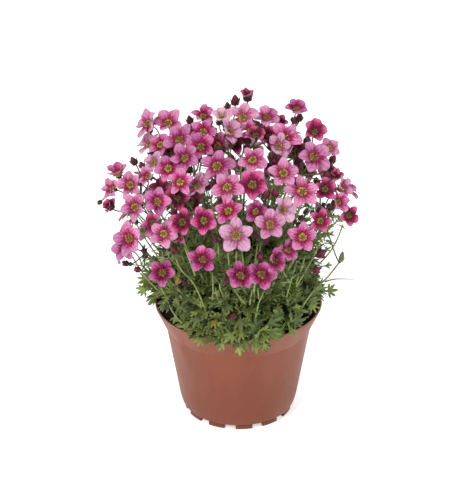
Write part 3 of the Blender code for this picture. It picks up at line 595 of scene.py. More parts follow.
calyxLook = {
    "cup": [(0.0005, -0.0037), (0.0012, -0.0033), (0.0018, -0.0024), (0.0021, -0.0012), (0.0020, -0.0003),
            (0.0012, 0.0000)],
    "sepalLength": 0.0034,
    "sepalWidth": 0.0009,
    "sepalFoot": (0.0016, -0.0009),
    "sepalThickness": 0.00018,
    "sepalBend": 0.3,
    "pedicelRadius": 0.00046,
    "pedicelSunk": 0.0006,     # how far it starts inside its stem
    "budShape": [(0.10, 0.0), (0.42, 0.05), (0.78, 0.16), (0.97, 0.30), (1.0, 0.42), (0.93, 0.56),
                 (0.74, 0.72), (0.46, 0.87), (0.20, 0.97), (0.05, 1.0)],
    "openingScale": 1.35,      # buds over this size show their petals
    "openingBloom": {"sunk": 0.0010, "radius": 0.0047, "cup": (0.82, 0.94), "deep": 0.95, "opening": 0.3},
    "openingSize": (0.78, 0.45),  # a bud's width and height over its solid's
    "shutSize": (0.98, 1.0),
    "greenSize": (0.68, 1.35),
    "budSepal": 0.0034,
}

sepalRows, sepalColumns = 5, 3
sepalFaces = gridFaces(sepalRows, sepalColumns)
sepalAlong = np.tile(np.repeat(np.linspace(0, 1, sepalRows), sepalColumns), 2)


def addCalyx(gather, bloom):
    # Pedicel 0, calyx cup 1, sepal 2, bud 3
    place, axes, size, tones = settingOf(bloom)
    look = calyxLook
    gather.put(turnedShape([(r * size, h) for r, h in look["cup"]], 10, 5, 0.05), 1.0, tones, place, axes)
    t, s = gridSteps(sepalRows, sepalColumns)
    length, width = look["sepalLength"] * size, look["sepalWidth"] * size
    footRadius, footHeight = look["sepalFoot"]
    for k in range(5):
        slope = bloom["cup"] + uniform(-0.15, 0.05) - look["sepalBend"] * t
        wide = width * np.sin(np.clip(0.22 + 0.78 * t, 0, 1) * math.pi) ** 0.7 + 0.00006
        points = sheetPoints(footRadius * size + length * t * np.cos(slope), wide * s,
                             footHeight + length * t * np.sin(slope) + width * 0.35 * s ** 2,
                             look["sepalThickness"])
        gather.add(place + points @ spinMatrix((k + 0.5) * 2 * math.pi / 5) @ axes, sepalFaces, [],
                   (0, sepalAlong, 2.0), tones)


def openingBloom(bud):
    # A bud about to open, as a small deep cup of petals that leans to the front
    scale = bud["scale"]
    axis = unit(bud["axis"] + np.array([0, -0.5, 0.1]))
    look = calyxLook["openingBloom"]
    return {"place": bud["place"] - bud["axis"] * look["sunk"] * scale, "axis": axis,
            "radius": look["radius"] * scale, "cup": uniform(*look["cup"]), "lead": upBy(1.0), "pale": 0,
            "deep": look["deep"], "chance": draw.random(), "opening": look["opening"]}


def addBud(gather, bud):
    look, scale, axes, green = calyxLook, bud["scale"], frameAlong(bud["axis"]), bud.get("green")
    low = -solidSizes["budBase"] * scale
    wider, taller = look["openingSize" if scale > look["openingScale"] else "shutSize"]
    wide = solidSizes["budRadius"] * scale * wider
    tall = (solidSizes["budBase"] + solidSizes["budTip"]) * scale * taller
    if green:
        wide, tall = wide * look["greenSize"][0], tall * look["greenSize"][1]
    tones = (0, 0.5, 2.0 if green else draw.random())
    profile = [(r * wide, low + tall * h) for r, h in look["budShape"]]
    gather.put(turnedShape(profile, 15, 5, 0.06), 3.0, tones, bud["place"], axes)
    t, s = gridSteps(sepalRows, sepalColumns)
    for k in range(5):
        radius = wide * (0.62 + 0.50 * np.sin(np.clip(0.15 + 0.45 * t, 0, 1) * math.pi))
        radius = radius + 0.0009 * scale * uniform(0, 1) * t ** 3
        turn = s * 0.52 * np.cos(t * math.pi / 2 * 0.94)
        rise = low * 0.75 + look["budSepal"] * scale * 1.25 * t + 0 * s
        wall = np.stack([radius * np.cos(turn), radius * np.sin(turn), rise], axis=-1)
        normal = np.stack([np.cos(turn), np.sin(turn), 0 * turn], axis=-1)
        points = np.concatenate([wall + normal * 0.00012, wall - normal * 0.00016]).reshape(-1, 3)
        gather.add(bud["place"] + points @ spinMatrix((k + 0.5) * 2 * math.pi / 5) @ axes,
                   np.flip(sepalFaces, axis=1), [], (0, sepalAlong, 2.0), tones)


def pedicelStart(head):
    return head["fork"] - head["rise"] * calyxLook["pedicelSunk"]


def addPedicels(gather, head):
    # From the fork to each bloom and bud, along the bend that its solid takes
    fork, start = head["fork"], pedicelStart(head)
    for member in head["blooms"] + head["buds"]:
        base = solidSizes["budBase"] * member["scale"] if "scale" in member else solidSizes["bloomBase"]
        end = member["place"] - member["axis"] * base
        bends = []
        for curl in solidSizes["curls"]:
            bend = end - member["axis"] * np.linalg.norm(end - fork) * curl
            away = np.sort(np.linalg.norm(head["points"] - (fork + 2 * bend + end) / 4, axis=1))[:3]
            bends.append((away.mean(), bend))
        path = bezierPath(start, min(bends, key=lambda pair: pair[0])[1], end, 9)
        thick = calyxLook["pedicelRadius"]
        gather.put(tubeShape(path, np.linspace(thick * 1.05, thick, 9)), 0.0, (0, 0.4, draw.random()))


sideBuds = {
    "count": (1, 4),
    "scale": (0.50, 0.85),
    "reach": (0.0050, 0.0110),
    "stalk": 0.9,              # over a pedicel's thickness
    "bracts": (2, 4),
    "bractLength": (0.0040, 0.0075),
}


def addSideBuds(gather, head):
    # Small buds on short stalks below the blooms
    for _ in range(draw.randint(*sideBuds["count"])):
        way = unit(head["rise"] * 0.9 + scatter(1, (-0.2, 0.6)))
        scale = uniform(*sideBuds["scale"])
        place = head["fork"] + way * uniform(*sideBuds["reach"])
        axis = unit(way + scatter(0.6, 0.4))
        path = bezierPath(pedicelStart(head), place - axis * 0.004,
                          place - axis * solidSizes["budBase"] * scale, 6)
        stalk = tubeShape(path, [calyxLook["pedicelRadius"] * sideBuds["stalk"]] * 6, 5)
        gather.put(stalk, 0.0, (0, 0.4, draw.random()))
        addBud(gather, {"place": place, "axis": axis, "scale": scale})


# Stems: each leaves the cushion on a line from low in the pot and ends in its head's fork

stemLook = {
    "footRadius": 0.00082,
    "topRadius": 0.00062,
    "sourceDrop": 0.0450,
    "leaves": (3, 6),          # small leaves on each stem
    "leafLength": (0.0055, 0.0095),
    "leafUpTo": 0.80,          # how far along a stem its last leaf may stand
    "frontRadius": 0.00064,
    "rootDepth": 0.006,        # how far a stem's foot is inside the core
    "steepAt": 0.55,
    "steepRise": 0.06,
    "topPull": 0.4,            # how straight a stem runs into its head
}

# The cushion's outline, as radius and height over the rim
coreProfile = [(0.0420, -0.0074), (0.0480, -0.0030), (0.0525, 0.0050), (0.0540, 0.0120), (0.0525, 0.0210),
               (0.0465, 0.0305), (0.0350, 0.0375), (0.0190, 0.0415), (0.0, 0.0428)]


def stemPath(head):
    source = upBy(rimHeight - stemLook["sourceDrop"])
    line = head["middle"] - source
    coreRadii, coreHeights = zip(*coreProfile)
    for k in range(200):
        along = 1 - k / 200
        x, y, z = source + line * along
        if math.hypot(x, y) < np.interp(z - rimHeight, coreHeights, coreRadii):
            break
    root = source + line * along - unit(line) * stemLook["rootDepth"]
    top = head["foot"]
    length = np.linalg.norm(top - root)
    steep = root + (top - root) * stemLook["steepAt"] + upBy(stemLook["steepRise"] * length)
    bend = (steep + top - head["rise"] * length * stemLook["topPull"]) / 2
    path = bezierPath(root, bend, top - head["rise"] * solidSizes["stubLength"], 13)
    return np.concatenate([path, [top, head["fork"]]])


# Stems that the picture shows in front of the leaves, each as places across and up, mm
frontStems = [
    [(-45.9, 33.4), (-42.5, 21.8), (-33.6, 15.0), (-26.8, 2.1), (-22.0, -11.6)],
    [(-55.5, 8.9), (-51.3, 2.0), (-47.3, -9.6), (-40.4, -16.4)],
    [(-69.1, 38.9), (-63.7, 31.4), (-56.0, 22.8)],
    [(-73.3, 54.6), (-65.3, 41.4), (-55.5, 28.0), (-47.5, 17.1)],
    [(-76.0, 31.4), (-71.9, 23.8), (-63.7, 12.9), (-56.0, 5.7)],
    [(-38.4, 37.6), (-35.0, 28.6), (-31.0, 17.9)],
    [(-7.6, 33.4), (-6.3, 23.8), (-5.4, 10.7)], [(-1.5, 34.3), (-1.5, 25.9), (-2.0, 14.0)],
    [(-18.6, 19.8), (-17.9, 9.5), (-18.2, 2.1)], [(-3.6, 8.1), (1.1, 0.7), (4.9, -2.8)],
    [(9.6, 7.5), (8.8, 2.0), (7.9, -3.4)], [(19.2, 8.1), (15.0, 0.0), (13.2, -7.1), (11.7, -15.0)],
    [(13.8, 8.1), (14.0, 5.0), (14.4, 1.0)], [(41.8, 28.0), (37.5, 14.3), (34.3, 2.1)],
    [(31.5, 21.1), (33.8, 17.0), (36.2, 12.6)], [(59.6, 45.0), (54.6, 32.1), (46.8, 19.3), (41.1, 9.3)],
    [(47.5, 31.4), (44.6, 21.4), (41.0, 11.4)],
    [(74.6, 54.0), (71.8, 45.7), (67.7, 37.6), (63.2, 31.4), (57.0, 25.0)],
    [(13.8, 40.3), (11.7, 28.0), (10.5, 17.0)], [(2.1, 37.6), (3.1, 29.3), (4.2, 18.0)],
    [(24.6, 12.3), (30.0, 12.4), (36.0, 13.0)],
    [(72.8, 28.0), (66.0, 18.6), (58.9, 11.4), (51.0, 4.3), (44.5, -6.4)],
]


def forwardOf(across, upward):
    # How far in front of the axis the cushion's leaves end there, mm
    reach = 61 + 0.25 * max(upward, 0)
    return math.sqrt(max(reach ** 2 - across ** 2, 300))


def frontPath(corners):
    # Just outside the leaves, and evenly further forward from the first corner to the last
    forwards = np.linspace(forwardOf(*corners[0]), forwardOf(*corners[-1]), len(corners))
    return smoothPath([placeInFront(*corner, forward) for corner, forward in zip(corners, forwards)])


def addStalk(gather, corners, radius, tones):
    path = frontPath(corners)
    gather.put(tubeShape(path, np.linspace(radius * 0.85, radius, len(path))), 0.0, tones)


def addStem(gather, head):
    path = stemPath(head)
    radii = np.linspace(stemLook["footRadius"], stemLook["topRadius"], len(path))
    gather.put(tubeShape(path, radii, 7), 0.0, (uniform(0.4, 1), 0, draw.random()))
    return path


# Leaves: a flat stalk that widens into a fan of narrow lobes. Shapes are drawn once and
# placed many times, each with its own turn, bend and size.

leafLook = {
    "shapeCount": 16,
    "thickness": 0.030,        # over the leaf's length
    "stalk": 0.40,             # the stalk's part of the length
    "stalkWidth": 0.060,
    "lobeSpread": (30, 42),    # degrees between lobes
    "lobeWidth": (9.5, 13.5),  # degrees from a lobe's middle to its shoulder
    "flatUnder": 1e-3,         # a leaf that bends less stays flat
    "outerShorter": 0.26,
    "cleft": (0.34, 0.44),     # how far out the cleft between two lobes is
    "shoulders": [(-1.15, 0.58), (-0.60, 0.82), (0, 1), (0.60, 0.82), (1.15, 0.58)],  # turn and reach
}


def leafMesh(lobes):
    # One leaf with its stalk along +Y from the origin, one long in all. It is closed: a top and a
    # bottom fan over the outline, with a fold along each lobe.
    stalk, w = leafLook["stalk"], leafLook["stalkWidth"]
    base = np.array([0, stalk, 0])
    gap, half = uniform(*leafLook["lobeSpread"]), uniform(*leafLook["lobeWidth"])
    foot = [(-w * 0.8, 0.0), (-w * 0.7, 0.5 * stalk), (-w * 1.2, stalk)]
    edge, inner, starts = [np.array([x, y, 0]) for x, y in foot], [base + np.array([0, 0.05, -0.022])], []
    for k in range(lobes):
        angle = (k - (lobes - 1) / 2) * gap + uniform(-4, 4)
        outer = abs(k - (lobes - 1) / 2) / max(1, (lobes - 1) / 2)
        reach = (1 - stalk) * (1 - leafLook["outerShorter"] * outer ** 1.5) * uniform(0.92, 1.06)
        lift = uniform(-0.05, 0.05)

        def at(turn, r, rise=0.0):
            a = math.radians(angle + turn)
            return base + np.array([math.sin(a) * r, math.cos(a) * r, rise + lift * r / reach])

        starts.append(len(edge))
        if k:
            edge.append(at(-gap / 2, reach * uniform(*leafLook["cleft"]), -0.012))
        edge += [at(half * turn, reach * part) for turn, part in leafLook["shoulders"]]
        inner.append(at(0, reach * 0.66, -0.020))
    edge += [np.array([-x, y, 0]) for x, y in reversed(foot)]
    inner.append(np.array([0, 0.25 * stalk, -0.01]))
    count, top = len(edge), np.array(edge + inner)
    stalkMiddle = count + len(inner) - 1
    fans = [(0, stalkMiddle, 1), (count - 1, count - 2, stalkMiddle), (0, count - 1, stalkMiddle),
            (1, stalkMiddle, 2), (stalkMiddle, count - 2, count - 3), (2, stalkMiddle, count),
            (stalkMiddle, count - 3, count)]
    for number, (start, after) in enumerate(zip(starts, starts[1:] + [count - 3])):
        middle = count + 1 + number
        first = start if number else 2
        row = [first, *range(start + (number > 0), after), after]
        fans += [(a, middle, b) for a, b in zip(row, row[1:])]
        fans += [(first, count, middle), (after, middle, count)]
    under, tris = len(top), []
    for a, b, c in fans:
        tris += [(a, b, c), (a + under, c + under, b + under)]
    for k in range(count):
        after = (k + 1) % count
        tris += [(k, after, after + under), (k, after + under, k + under)]
    points = np.concatenate([top, top - upBy(leafLook["thickness"])])
    rim = np.tile(np.concatenate([np.ones(count), np.zeros(len(inner))]), 2)
    return points, np.array(tris), rim, np.repeat([0.0, 1.0], under)


leafShapes = {lobes: [leafMesh(lobes) for _ in range(leafLook["shapeCount"])] for lobes in (1, 3, 5)}


def addLeaf(gather, place, ahead, upper, length, lobes, bend, fold, tones):
    # The leaf runs ahead from its place; its upper face looks along upper, and it bends
    points, tris, rim, part = draw.choice(leafShapes[lobes])
    x, y, z = points.T
    z = z + fold * x ** 2 * 2.0
    if abs(bend) > leafLook["flatUnder"]:
        reach = 1 / bend - z
        y, z = reach * np.sin(bend * y), 1 / bend - reach * np.cos(bend * y)
    ahead = unit(ahead)
    upper = unit(upper - ahead * upper.dot(ahead))
    placed = place + length * np.stack([x, y, z], axis=1) @ np.array([np.cross(ahead, upper), ahead, upper])
    gather.add(placed, [], tris, (rim, np.clip(points[:, 1], 0, 1), part), tones)


def addStemLeaves(gather, path, first=0.25):
    for _ in range(draw.randint(*stemLook["leaves"])):
        k = int(uniform(first, stemLook["leafUpTo"]) * (len(path) - 1))
        ahead = unit(path[k + 1] - path[k])
        side = frameAlong(ahead, scatter(1, (-1, 1)))[0]
        out = unit(ahead * uniform(0.5, 1.0) + side * 0.8)
        length = uniform(*stemLook["leafLength"])
        addLeaf(gather, path[k], out, ahead - side, length, draw.choice((1, 1, 3)), -uniform(0.2, 0.9), 0.3,
                (uniform(-0.2, 0.5), uniform(0, 0.25), draw.random()))


# Cushion: leafy shoots crowded over the core, each a rosette of leaves

cushionLook = {
    "shoots": 140,
    "leavesPerShoot": (6, 9),
    "leafLength": (0.0140, 0.0190),
    "shootRise": 0.0050,
    "lift": 0.25,
    "lean": 0.45,
    "lowSides": [(1, 0.030, 0.75, 0.0), (-1, 0.018, 0.68, 0.003)],  # way, top, leaf size, rise
    "lowFrom": 0.030,
    "lowInward": (0.90, 0.97, 1),
    "rimClearance": 0.0015,
    "tilt": (16, 58),          # degrees: the middle leaves, and how much more the outer ones lean
    "tiltOdd": 12,
    "twist": 0.5,
    "turnedLeaves": 0.004,
    "threeLobed": 0.65,        # the others have five lobes
    "tallShoots": 100,         # leafy shoots without flowers that stand among the stems
    "tallReach": (0.35, 0.88),
    "tallDrift": 0.008,
    "tallLeaf": (0.0075, 0.0105),
    "tallLeaves": (4, 6),
    "blade": [(61.5, 13.0), (66.0, 14.6), (73.0, 15.3), (82.0, 14.7)],
    "bladeRadius": 0.0006,
    "edgeLeaves": 7,
}

# Shoots that hang over the rim or stand out from it: angle from the right, distance from the
# axis, height over the rim and leaf length, mm, then how far its leaves droop
edgeShoots = [
    (236, 56, 3.0, 14, 0.3), (244, 57, 3.5, 15, 0.4), (252, 56, 4.5, 16, 0.3), (259, 58, 3.5, 15, 0.5),
    (266, 57, 4.5, 14, 0.4), (273, 58, 3.5, 15, 0.6), (281, 57, 3.0, 14, 0.5), (290, 57, 3.5, 15, 0.5),
    (298, 55, 4.5, 14, 0.3), (308, 52, 4.0, 12, 0.1), (317, 50, 4.0, 11, 0.0),
    (228, 54, 3.5, 12, 0.2), (219, 51, 4.5, 11, 0.0), (210, 48, 8.0, 10, -0.3), (203, 49, 10.0, 10, -0.3),
    (181, 60, 10.0, 15, -0.1), (175, 61, 14.0, 15, -0.1), (169, 58, 9.0, 14, 0.0),
    (189, 58, 11.0, 13, -0.1), (158, 56, 5.0, 14, 0.2), (145, 57, 3.0, 14, 0.4), (132, 56, 4.0, 14, 0.2),
    (118, 57, 3.0, 15, 0.5), (104, 56, 4.0, 14, 0.4), (92, 57, 3.0, 15, 0.5), (78, 56, 4.0, 14, 0.3),
    (64, 57, 3.0, 15, 0.4), (50, 56, 4.0, 13, 0.2), (35, 55, 3.0, 12, 0.3), (22, 52, 5.0, 10, 0.1),
]

# Single leaves over the front and sides of the rim, by foot and tip in the picture and how far
# in front of the axis they lie, mm, then the number of lobes
looseLeaves = [
    (-22, -25, -33.5, -31, 53, 5), (-27, -19, -40, -24, 45, 3), (-9, -27, -14.5, -37.5, 61, 3),
    (0, -28, 1.5, -41, 62, 3), (7, -29, 4, -38, 61, 3), (12, -27, 13.5, -39.5, 60, 3),
    (17, -28, 20, -37, 60, 5), (26, -24, 32, -28, 52, 3), (-56, 5, -65, -4, 12, 3),
    (-62, 10, -73.5, 4, 6, 5), (-60, 14, -73, 16, -2, 5), (59, 6, 71.5, 7, 2, 5),
    (60, 34, 66, 38, 18, 3), (59, 24, 67.5, 25, 12, 3), (40, -16, 47, -20, 38, 3),
    (-44, -8, -46.5, -18.5, 36, 3),
]


def addLooseLeaf(gather, footAcross, footUp, tipAcross, tipUp, forward, lobes):
    foot, tip = placeInFront(footAcross, footUp, forward), placeInFront(tipAcross, tipUp, forward + 2)
    inner = foot - np.array([foot[0], foot[1], 0]) * 0.18
    path = bezierPath(inner, (inner + foot) / 2 + upBy(0.002), foot, 5)
    gather.put((*tubeShape(path, [0.0006] * 5, 5)[:3], 0.1), 0, (0.6, 0, 0.5))
    upper = np.array([0, -0.85, 0.5]) + scatter(0.3, (-0.3, 0.3))
    addLeaf(gather, foot, tip - foot, upper, np.linalg.norm(tip - foot), lobes, -uniform(0.1, 0.5),
            uniform(0.1, 0.5), (uniform(0.7, 1.0), uniform(0, 0.2), draw.random()))


def addBlade(gather):
    # A thin leaf that stands out from the cushion
    path = frontPath(cushionLook["blade"])
    blade = tubeShape(path, np.linspace(1, 0.25, len(path)) * cushionLook["bladeRadius"])
    gather.put((*blade[:3], 0.3), 0, (0.3, 0, 0.5))


def shootPlaces(count):
    # Spread evenly over the core's outline above the rim, from its top down
    arc = [row for row in reversed(coreProfile) if row[1] > 0.0]
    areas = [math.hypot(b[0] - a[0], b[1] - a[1]) * (a[0] + b[0]) for a, b in zip(arc, arc[1:])]
    places = []
    for k in range(count):
        wanted = sum(areas) * (k + 0.5) / count
        for area, a, b in zip(areas, arc, arc[1:]):
            if wanted <= area:
                break
            wanted -= area
        part = wanted / area
        radius, height = a[0] + (b[0] - a[0]) * part, a[1] + (b[1] - a[1]) * part
        tangent = unit(np.array([b[0] - a[0], 0, b[1] - a[1]]))
        spin = spinMatrix(-(k * goldenAngle + uniform(-0.08, 0.08)))
        places.append((spin @ np.array([radius, 0, rimHeight + height]),
                       spin @ np.array([-tangent[2], 0, tangent[0]])))
    return places


def clearRim(foot, ahead, length):
    # Leans a leaf up until it passes over the pot's rim
    ahead = unit(ahead)
    for _ in range(10):
        tip = foot + ahead * length
        inner, outer = math.hypot(foot[0], foot[1]), math.hypot(tip[0], tip[1])
        if inner > potRim or outer < potRim:
            break
        part = (potRim - inner) / (outer - inner)
        if foot[2] + ahead[2] * length * part > rimHeight + cushionLook["rimClearance"]:
            break
        ahead = unit(ahead + upBy(0.15))
    return ahead


def addRosette(gather, place, axis, size, leaves, droop=0.0, spread=1.0):
    # Leaves from the upright young ones in the middle to the level old ones
    look, axes = cushionLook, frameAlong(axis, scatter(1, 0.3))
    age = draw.random()
    for k in range(leaves):
        out = wayAt(k * goldenAngle + uniform(-0.25, 0.25))[:2] @ axes[:2]
        part = k / (leaves - 1)
        tilt = look["tilt"][0] + look["tilt"][1] * spread * part ** 0.8
        tilt = math.radians(tilt + uniform(-look["tiltOdd"], look["tiltOdd"]))
        ahead = axes[2] * math.cos(tilt) + out * math.sin(tilt) - upBy(droop * (0.3 + 0.7 * part))
        upper = axes[2] * math.sin(tilt) - out * math.cos(tilt) + upBy(0.4)
        twist = uniform(-look["twist"], look["twist"])
        upper = upper * math.cos(twist) + np.cross(unit(ahead), upper) * math.sin(twist)
        length = size * (0.62 + 0.38 * min(1, part * 1.6)) * uniform(0.85, 1.15)
        foot = place + axes[2] * size * 0.16 * (1 - part)
        ahead = clearRim(foot, ahead, length)
        old = draw.random() < look["turnedLeaves"] * (1 + 2 * part)
        # The outer, lower leaves of a rosette are darker: partly their age, partly painted shade where they
        # lie under the others
        tones = (0.95 - 0.80 * part + uniform(-0.25, 0.25), 0.9 if old else uniform(0, 0.2), age)
        lobes = 3 if draw.random() < look["threeLobed"] else 5
        addLeaf(gather, foot, ahead, upper, length, lobes, -uniform(0.0, 0.8), uniform(0.0, 0.7), tones)


def addTallShoot(gather, head):
    # A leafy shoot without flowers that rises beside a head's stem
    stem = stemPath(head)[:13]
    steps = np.linspace(0, uniform(*cushionLook["tallReach"]) * (len(stem) - 1), 10)
    drift = scatter(1, (-0.4, 0.2)) * cushionLook["tallDrift"]
    path = np.array([[np.interp(at, range(len(stem)), stem[:, k]) for k in range(3)] for at in steps])
    path = path + np.linspace(0.15, 1, 10)[:, None] ** 1.5 * drift
    gather.put(tubeShape(path, np.linspace(0.00080, 0.00055, 10)), 0.0, (draw.random(), 0, draw.random()))
    for first in (0.1, 0.45):
        addStemLeaves(gather, path, first)
    addRosette(gather, path[-1], unit(path[-1] - path[-2]), uniform(*cushionLook["tallLeaf"]),
               draw.randint(*cushionLook["tallLeaves"]))


def addBracts(gather, head):
    # Narrow leaves where the pedicels part
    for _ in range(draw.randint(*sideBuds["bracts"])):
        side = frameAlong(head["rise"], scatter(1, (-1, 1)))[0]
        place = head["fork"] - head["rise"] * uniform(0, 0.004)
        length = uniform(*sideBuds["bractLength"])
        addLeaf(gather, place, head["rise"] * 0.8 + side, head["rise"] - side, length, draw.choice((1, 1, 3)),
                -uniform(0.1, 0.8), 0.3, (0.5, uniform(0, 0.3), draw.random()))


def buildCushion(material):
    look = cushionLook
    sides = {"left": Gather(), "right": Gather(), "back": Gather()}

    def sideAt(angle):
        angle = (angle + 180) % 360 - 180
        return sides["back" if 20 < angle < 160 else ("right" if -90 < angle <= 20 else "left")]

    for place, normal in shootPlaces(look["shoots"]):
        axis = unit(normal + upBy(look["lift"]) + scatter(look["lean"], (-look["lean"], look["lean"])))
        size = uniform(*look["leafLength"])
        for way, top, smaller, rise in look["lowSides"]:
            if place[0] * way > look["lowFrom"] and place[2] < rimHeight + top:
                size *= smaller
                place = place * np.array(look["lowInward"]) + upBy(rise)
        addRosette(sideAt(math.degrees(math.atan2(place[1], place[0]))),
                   place + unit(normal) * look["shootRise"] * uniform(-1.0, 1.0), axis, size,
                   draw.randint(*look["leavesPerShoot"]))
    for angle, reach, rise, size, droop in edgeShoots:
        way = wayAt(math.radians(angle))
        place = way * (reach - 4) / 1000 + upBy(rimHeight + rise / 1000)
        addRosette(sideAt(angle), place, way + upBy(0.65), size / 1000, look["edgeLeaves"], 0.5 * droop, 1.1)
    for leaf in looseLeaves:
        addLooseLeaf(sides["left" if leaf[0] < 0 else "right"], *leaf)
    addBlade(sides["right"])
    for side, gather in sides.items():
        gather.build("leaves_" + side, material, "leaf_green", ("leafy_plant",))


# Materials

class Recipe:
    # Adds nodes to a material, a world or a group. An input takes a value or another node's
    # output, and three numbers of a colour are as seen on screen.
    def __init__(self, owner):
        if hasattr(owner, "use_nodes"):
            owner.use_nodes = True
        self.owner, self.tree = owner, getattr(owner, "node_tree", owner)

    def fill(self, node, inputs):
        for name, value in inputs.items():
            socket = node.inputs[name]
            if isinstance(value, bpy.types.NodeSocket):
                self.tree.links.new(value, socket)
            else:
                seen = socket.type == "RGBA" and len(value) == 3
                socket.default_value = (*tint(*value), 1) if seen else value

    def node(self, kind, inputs, **settings):
        node = self.tree.nodes.new("ShaderNode" + kind)
        for name, value in settings.items():
            setattr(node, name, value)
        self.fill(node, inputs)
        return node.outputs

    def marks(self):
        # What each point was marked with: across, along, part, then pale, deep, chance
        read = [self.node("Attribute", {}, attribute_name=name)["Vector"] for name in ("mark", "tint")]
        return [output for vector in read for output in self.node("SeparateXYZ", {0: vector})]

    def mottled(self, scale, stretch=1.0, detail=3.0):
        inputs = {"Scale": scale, "Stretch": stretch, "Detail": detail}
        return tuple(self.node("Group", inputs, node_tree=mottle))

    def sums(self, kind, *values):
        return self.node("Math", dict(enumerate(values)), operation=kind)[0]

    def times(self, first, second):
        return self.sums("MULTIPLY", first, second)

    def minus(self, first, second):
        return self.sums("SUBTRACT", first, second)

    def step(self, value, low, high, toLow=0.0, toHigh=1.0):
        # A smooth step of the value from low to high
        inputs = {"Value": value, "From Min": low, "From Max": high, "To Min": toLow, "To Max": toHigh}
        return self.node("MapRange", inputs, interpolation_type="SMOOTHSTEP")["Result"]

    def mix(self, amount, first, second):
        return self.node("Mix", {"Factor": amount, 6: first, 7: second}, data_type="RGBA")[2]

    def over(self, colour, value, low, high, layer, strength=1.0):
        # Lays another colour over this one as the value goes from low to high
        return self.mix(self.step(value, low, high, 0.0, strength), colour, layer)

    def byPart(self, part, colour, *others):
        for number, other in enumerate(others):
            colour = self.mix(self.sums("GREATER_THAN", part, number + 0.5), colour, other)
        return colour

    def vary(self, colour, hue, value, saturation=1.0):
        inputs = {"Color": colour, "Hue": hue, "Value": value, "Saturation": saturation}
        return self.node("HueSaturation", inputs)[0]

    def finish(self, colour, roughness, relief=None, others={}):
        # The relief is a height, its strength and its distance
        values = {"Base Color": colour, "Roughness": roughness, **others}
        if relief:
            values["Normal"] = self.node("Bump", dict(zip(("Height", "Strength", "Distance"), relief)))[0]
        self.fill(self.tree.nodes["Principled BSDF"], values)
        return self.owner


def newRecipe(name):
    return Recipe(bpy.data.materials.new(name))


def mottleGroup():
    # Uneven tone and fine relief, placed in every material with its own scale
    m = Recipe(bpy.data.node_groups.new("mottle", "ShaderNodeTree"))
    for way, names in (("INPUT", ("Scale", "Stretch", "Detail")), ("OUTPUT", ("Tone", "Relief"))):
        for name in names:
            m.tree.interface.new_socket(name, in_out=way, socket_type="NodeSocketFloat")
    start, end = m.tree.nodes.new("NodeGroupInput").outputs, m.tree.nodes.new("NodeGroupOutput")
    stretch = m.node("CombineXYZ", {"X": 1.0, "Y": 1.0, "Z": start["Stretch"]})[0]
    where = m.node("VectorMath", {0: m.node("TexCoord", {})["Object"], 1: stretch}, operation="MULTIPLY")[0]
    for name, ratio in (("Tone", 1.0), ("Relief", 4.3)):
        inputs = {"Vector": where, "Scale": m.times(start["Scale"], ratio), "Detail": start["Detail"]}
        m.fill(end, {name: m.node("TexNoise", inputs)["Fac"]})
    return m.tree


mottle = mottleGroup()

petalColours = {
    "outer": (230, 146, 196),
    "middle": (214, 98, 160),
    "eye": (146, 8, 60),
    "vein": (176, 40, 112),
    "pale": (246, 208, 226),
    "deep": (184, 42, 110),
    "deepTip": (236, 138, 188),
    "deepEye": (84, 6, 34),
    "crimson": (178, 22, 68),
}


def petalMaterial():
    m, c = newRecipe("petal"), petalColours
    across, along, part, pale, deep, chance = m.marks()
    tone = m.mottled(420)[0]
    loose = m.minus(tone, 0.5)
    far = m.sums("ADD", along, m.times(loose, 0.22))
    wave = m.sums("ABSOLUTE", m.sums("SINE", m.sums("MULTIPLY_ADD", across, 5.6, m.times(loose, 5.0))))
    streak = m.step(wave, 0.75, 0.05)
    body = m.mix(m.times(pale, 0.9), m.over(c["middle"], far, 0.35, 0.90, c["outer"]), c["pale"])
    darker = m.over(c["deep"], deep, 0.55, 1.0, c["crimson"])
    body = m.over(body, deep, 0.0, 0.8, m.over(darker, far, 0.45, 0.95, c["deepTip"], 0.75))
    eye, veinColour = (m.over(c[name], deep, 0.2, 0.9, c["deepEye"]) for name in ("eye", "vein"))
    reach = m.minus(m.minus(far, m.times(streak, 0.16)), m.times(deep, 0.14))
    weaker = m.minus(0.97, m.times(pale, 0.5))
    colour = m.mix(m.times(m.step(reach, 0.50, 0.18), weaker), body, eye)
    vein = m.times(streak, m.step(far, 0.95, 0.30, 0.03, 0.30))
    colour = m.mix(m.times(vein, weaker), colour, veinColour)
    # Painted shade: the sides of each petal, fading out towards its tip, are darkened towards the vein colour
    # as shade between neighbouring petals
    side = m.step(m.sums("ABSOLUTE", across), 0.72, 1.0, 0.0, 0.55)
    colour = m.mix(m.times(side, m.step(along, 1.0, 0.7)), colour, veinColour)
    # Painted highlight: pale patches from the mottle over the outer part of each petal, fading on deep blooms
    paintedLightAndTone = m.step(m.minus(tone, m.times(streak, 0.20)), 0.46, 0.66, 0.0, 0.38)
    paintedLightAndTone = m.times(m.times(paintedLightAndTone, m.step(far, 0.35, 0.70)), m.step(deep, 0.8, 0.2))
    colour = m.mix(paintedLightAndTone, colour, c["pale"])
    colour = m.mix(m.times(part, 0.8), colour, m.mix(0.3, colour, c["pale"]))
    # Painted shade: a high chance, which all the lower blooms are given, makes a bloom darker; elsewhere
    # chance varies the tone at random
    paintedLightAndTone = m.step(chance, 1.0, 0.0, 0.77, 1.02)
    colour = m.vary(colour, m.step(chance, 0.0, 1.0, 0.506, 0.491), paintedLightAndTone, 1.05)
    height = m.minus(m.times(tone, 2.2), m.times(streak, 0.5))
    return m.finish(colour, 0.55, (height, 0.8, 0.0006), {
        "Specular IOR Level": 0.3, "Sheen Weight": 0.10, "Subsurface Weight": 0.10,
        "Subsurface Radius": (0.002, 0.0008, 0.001)})


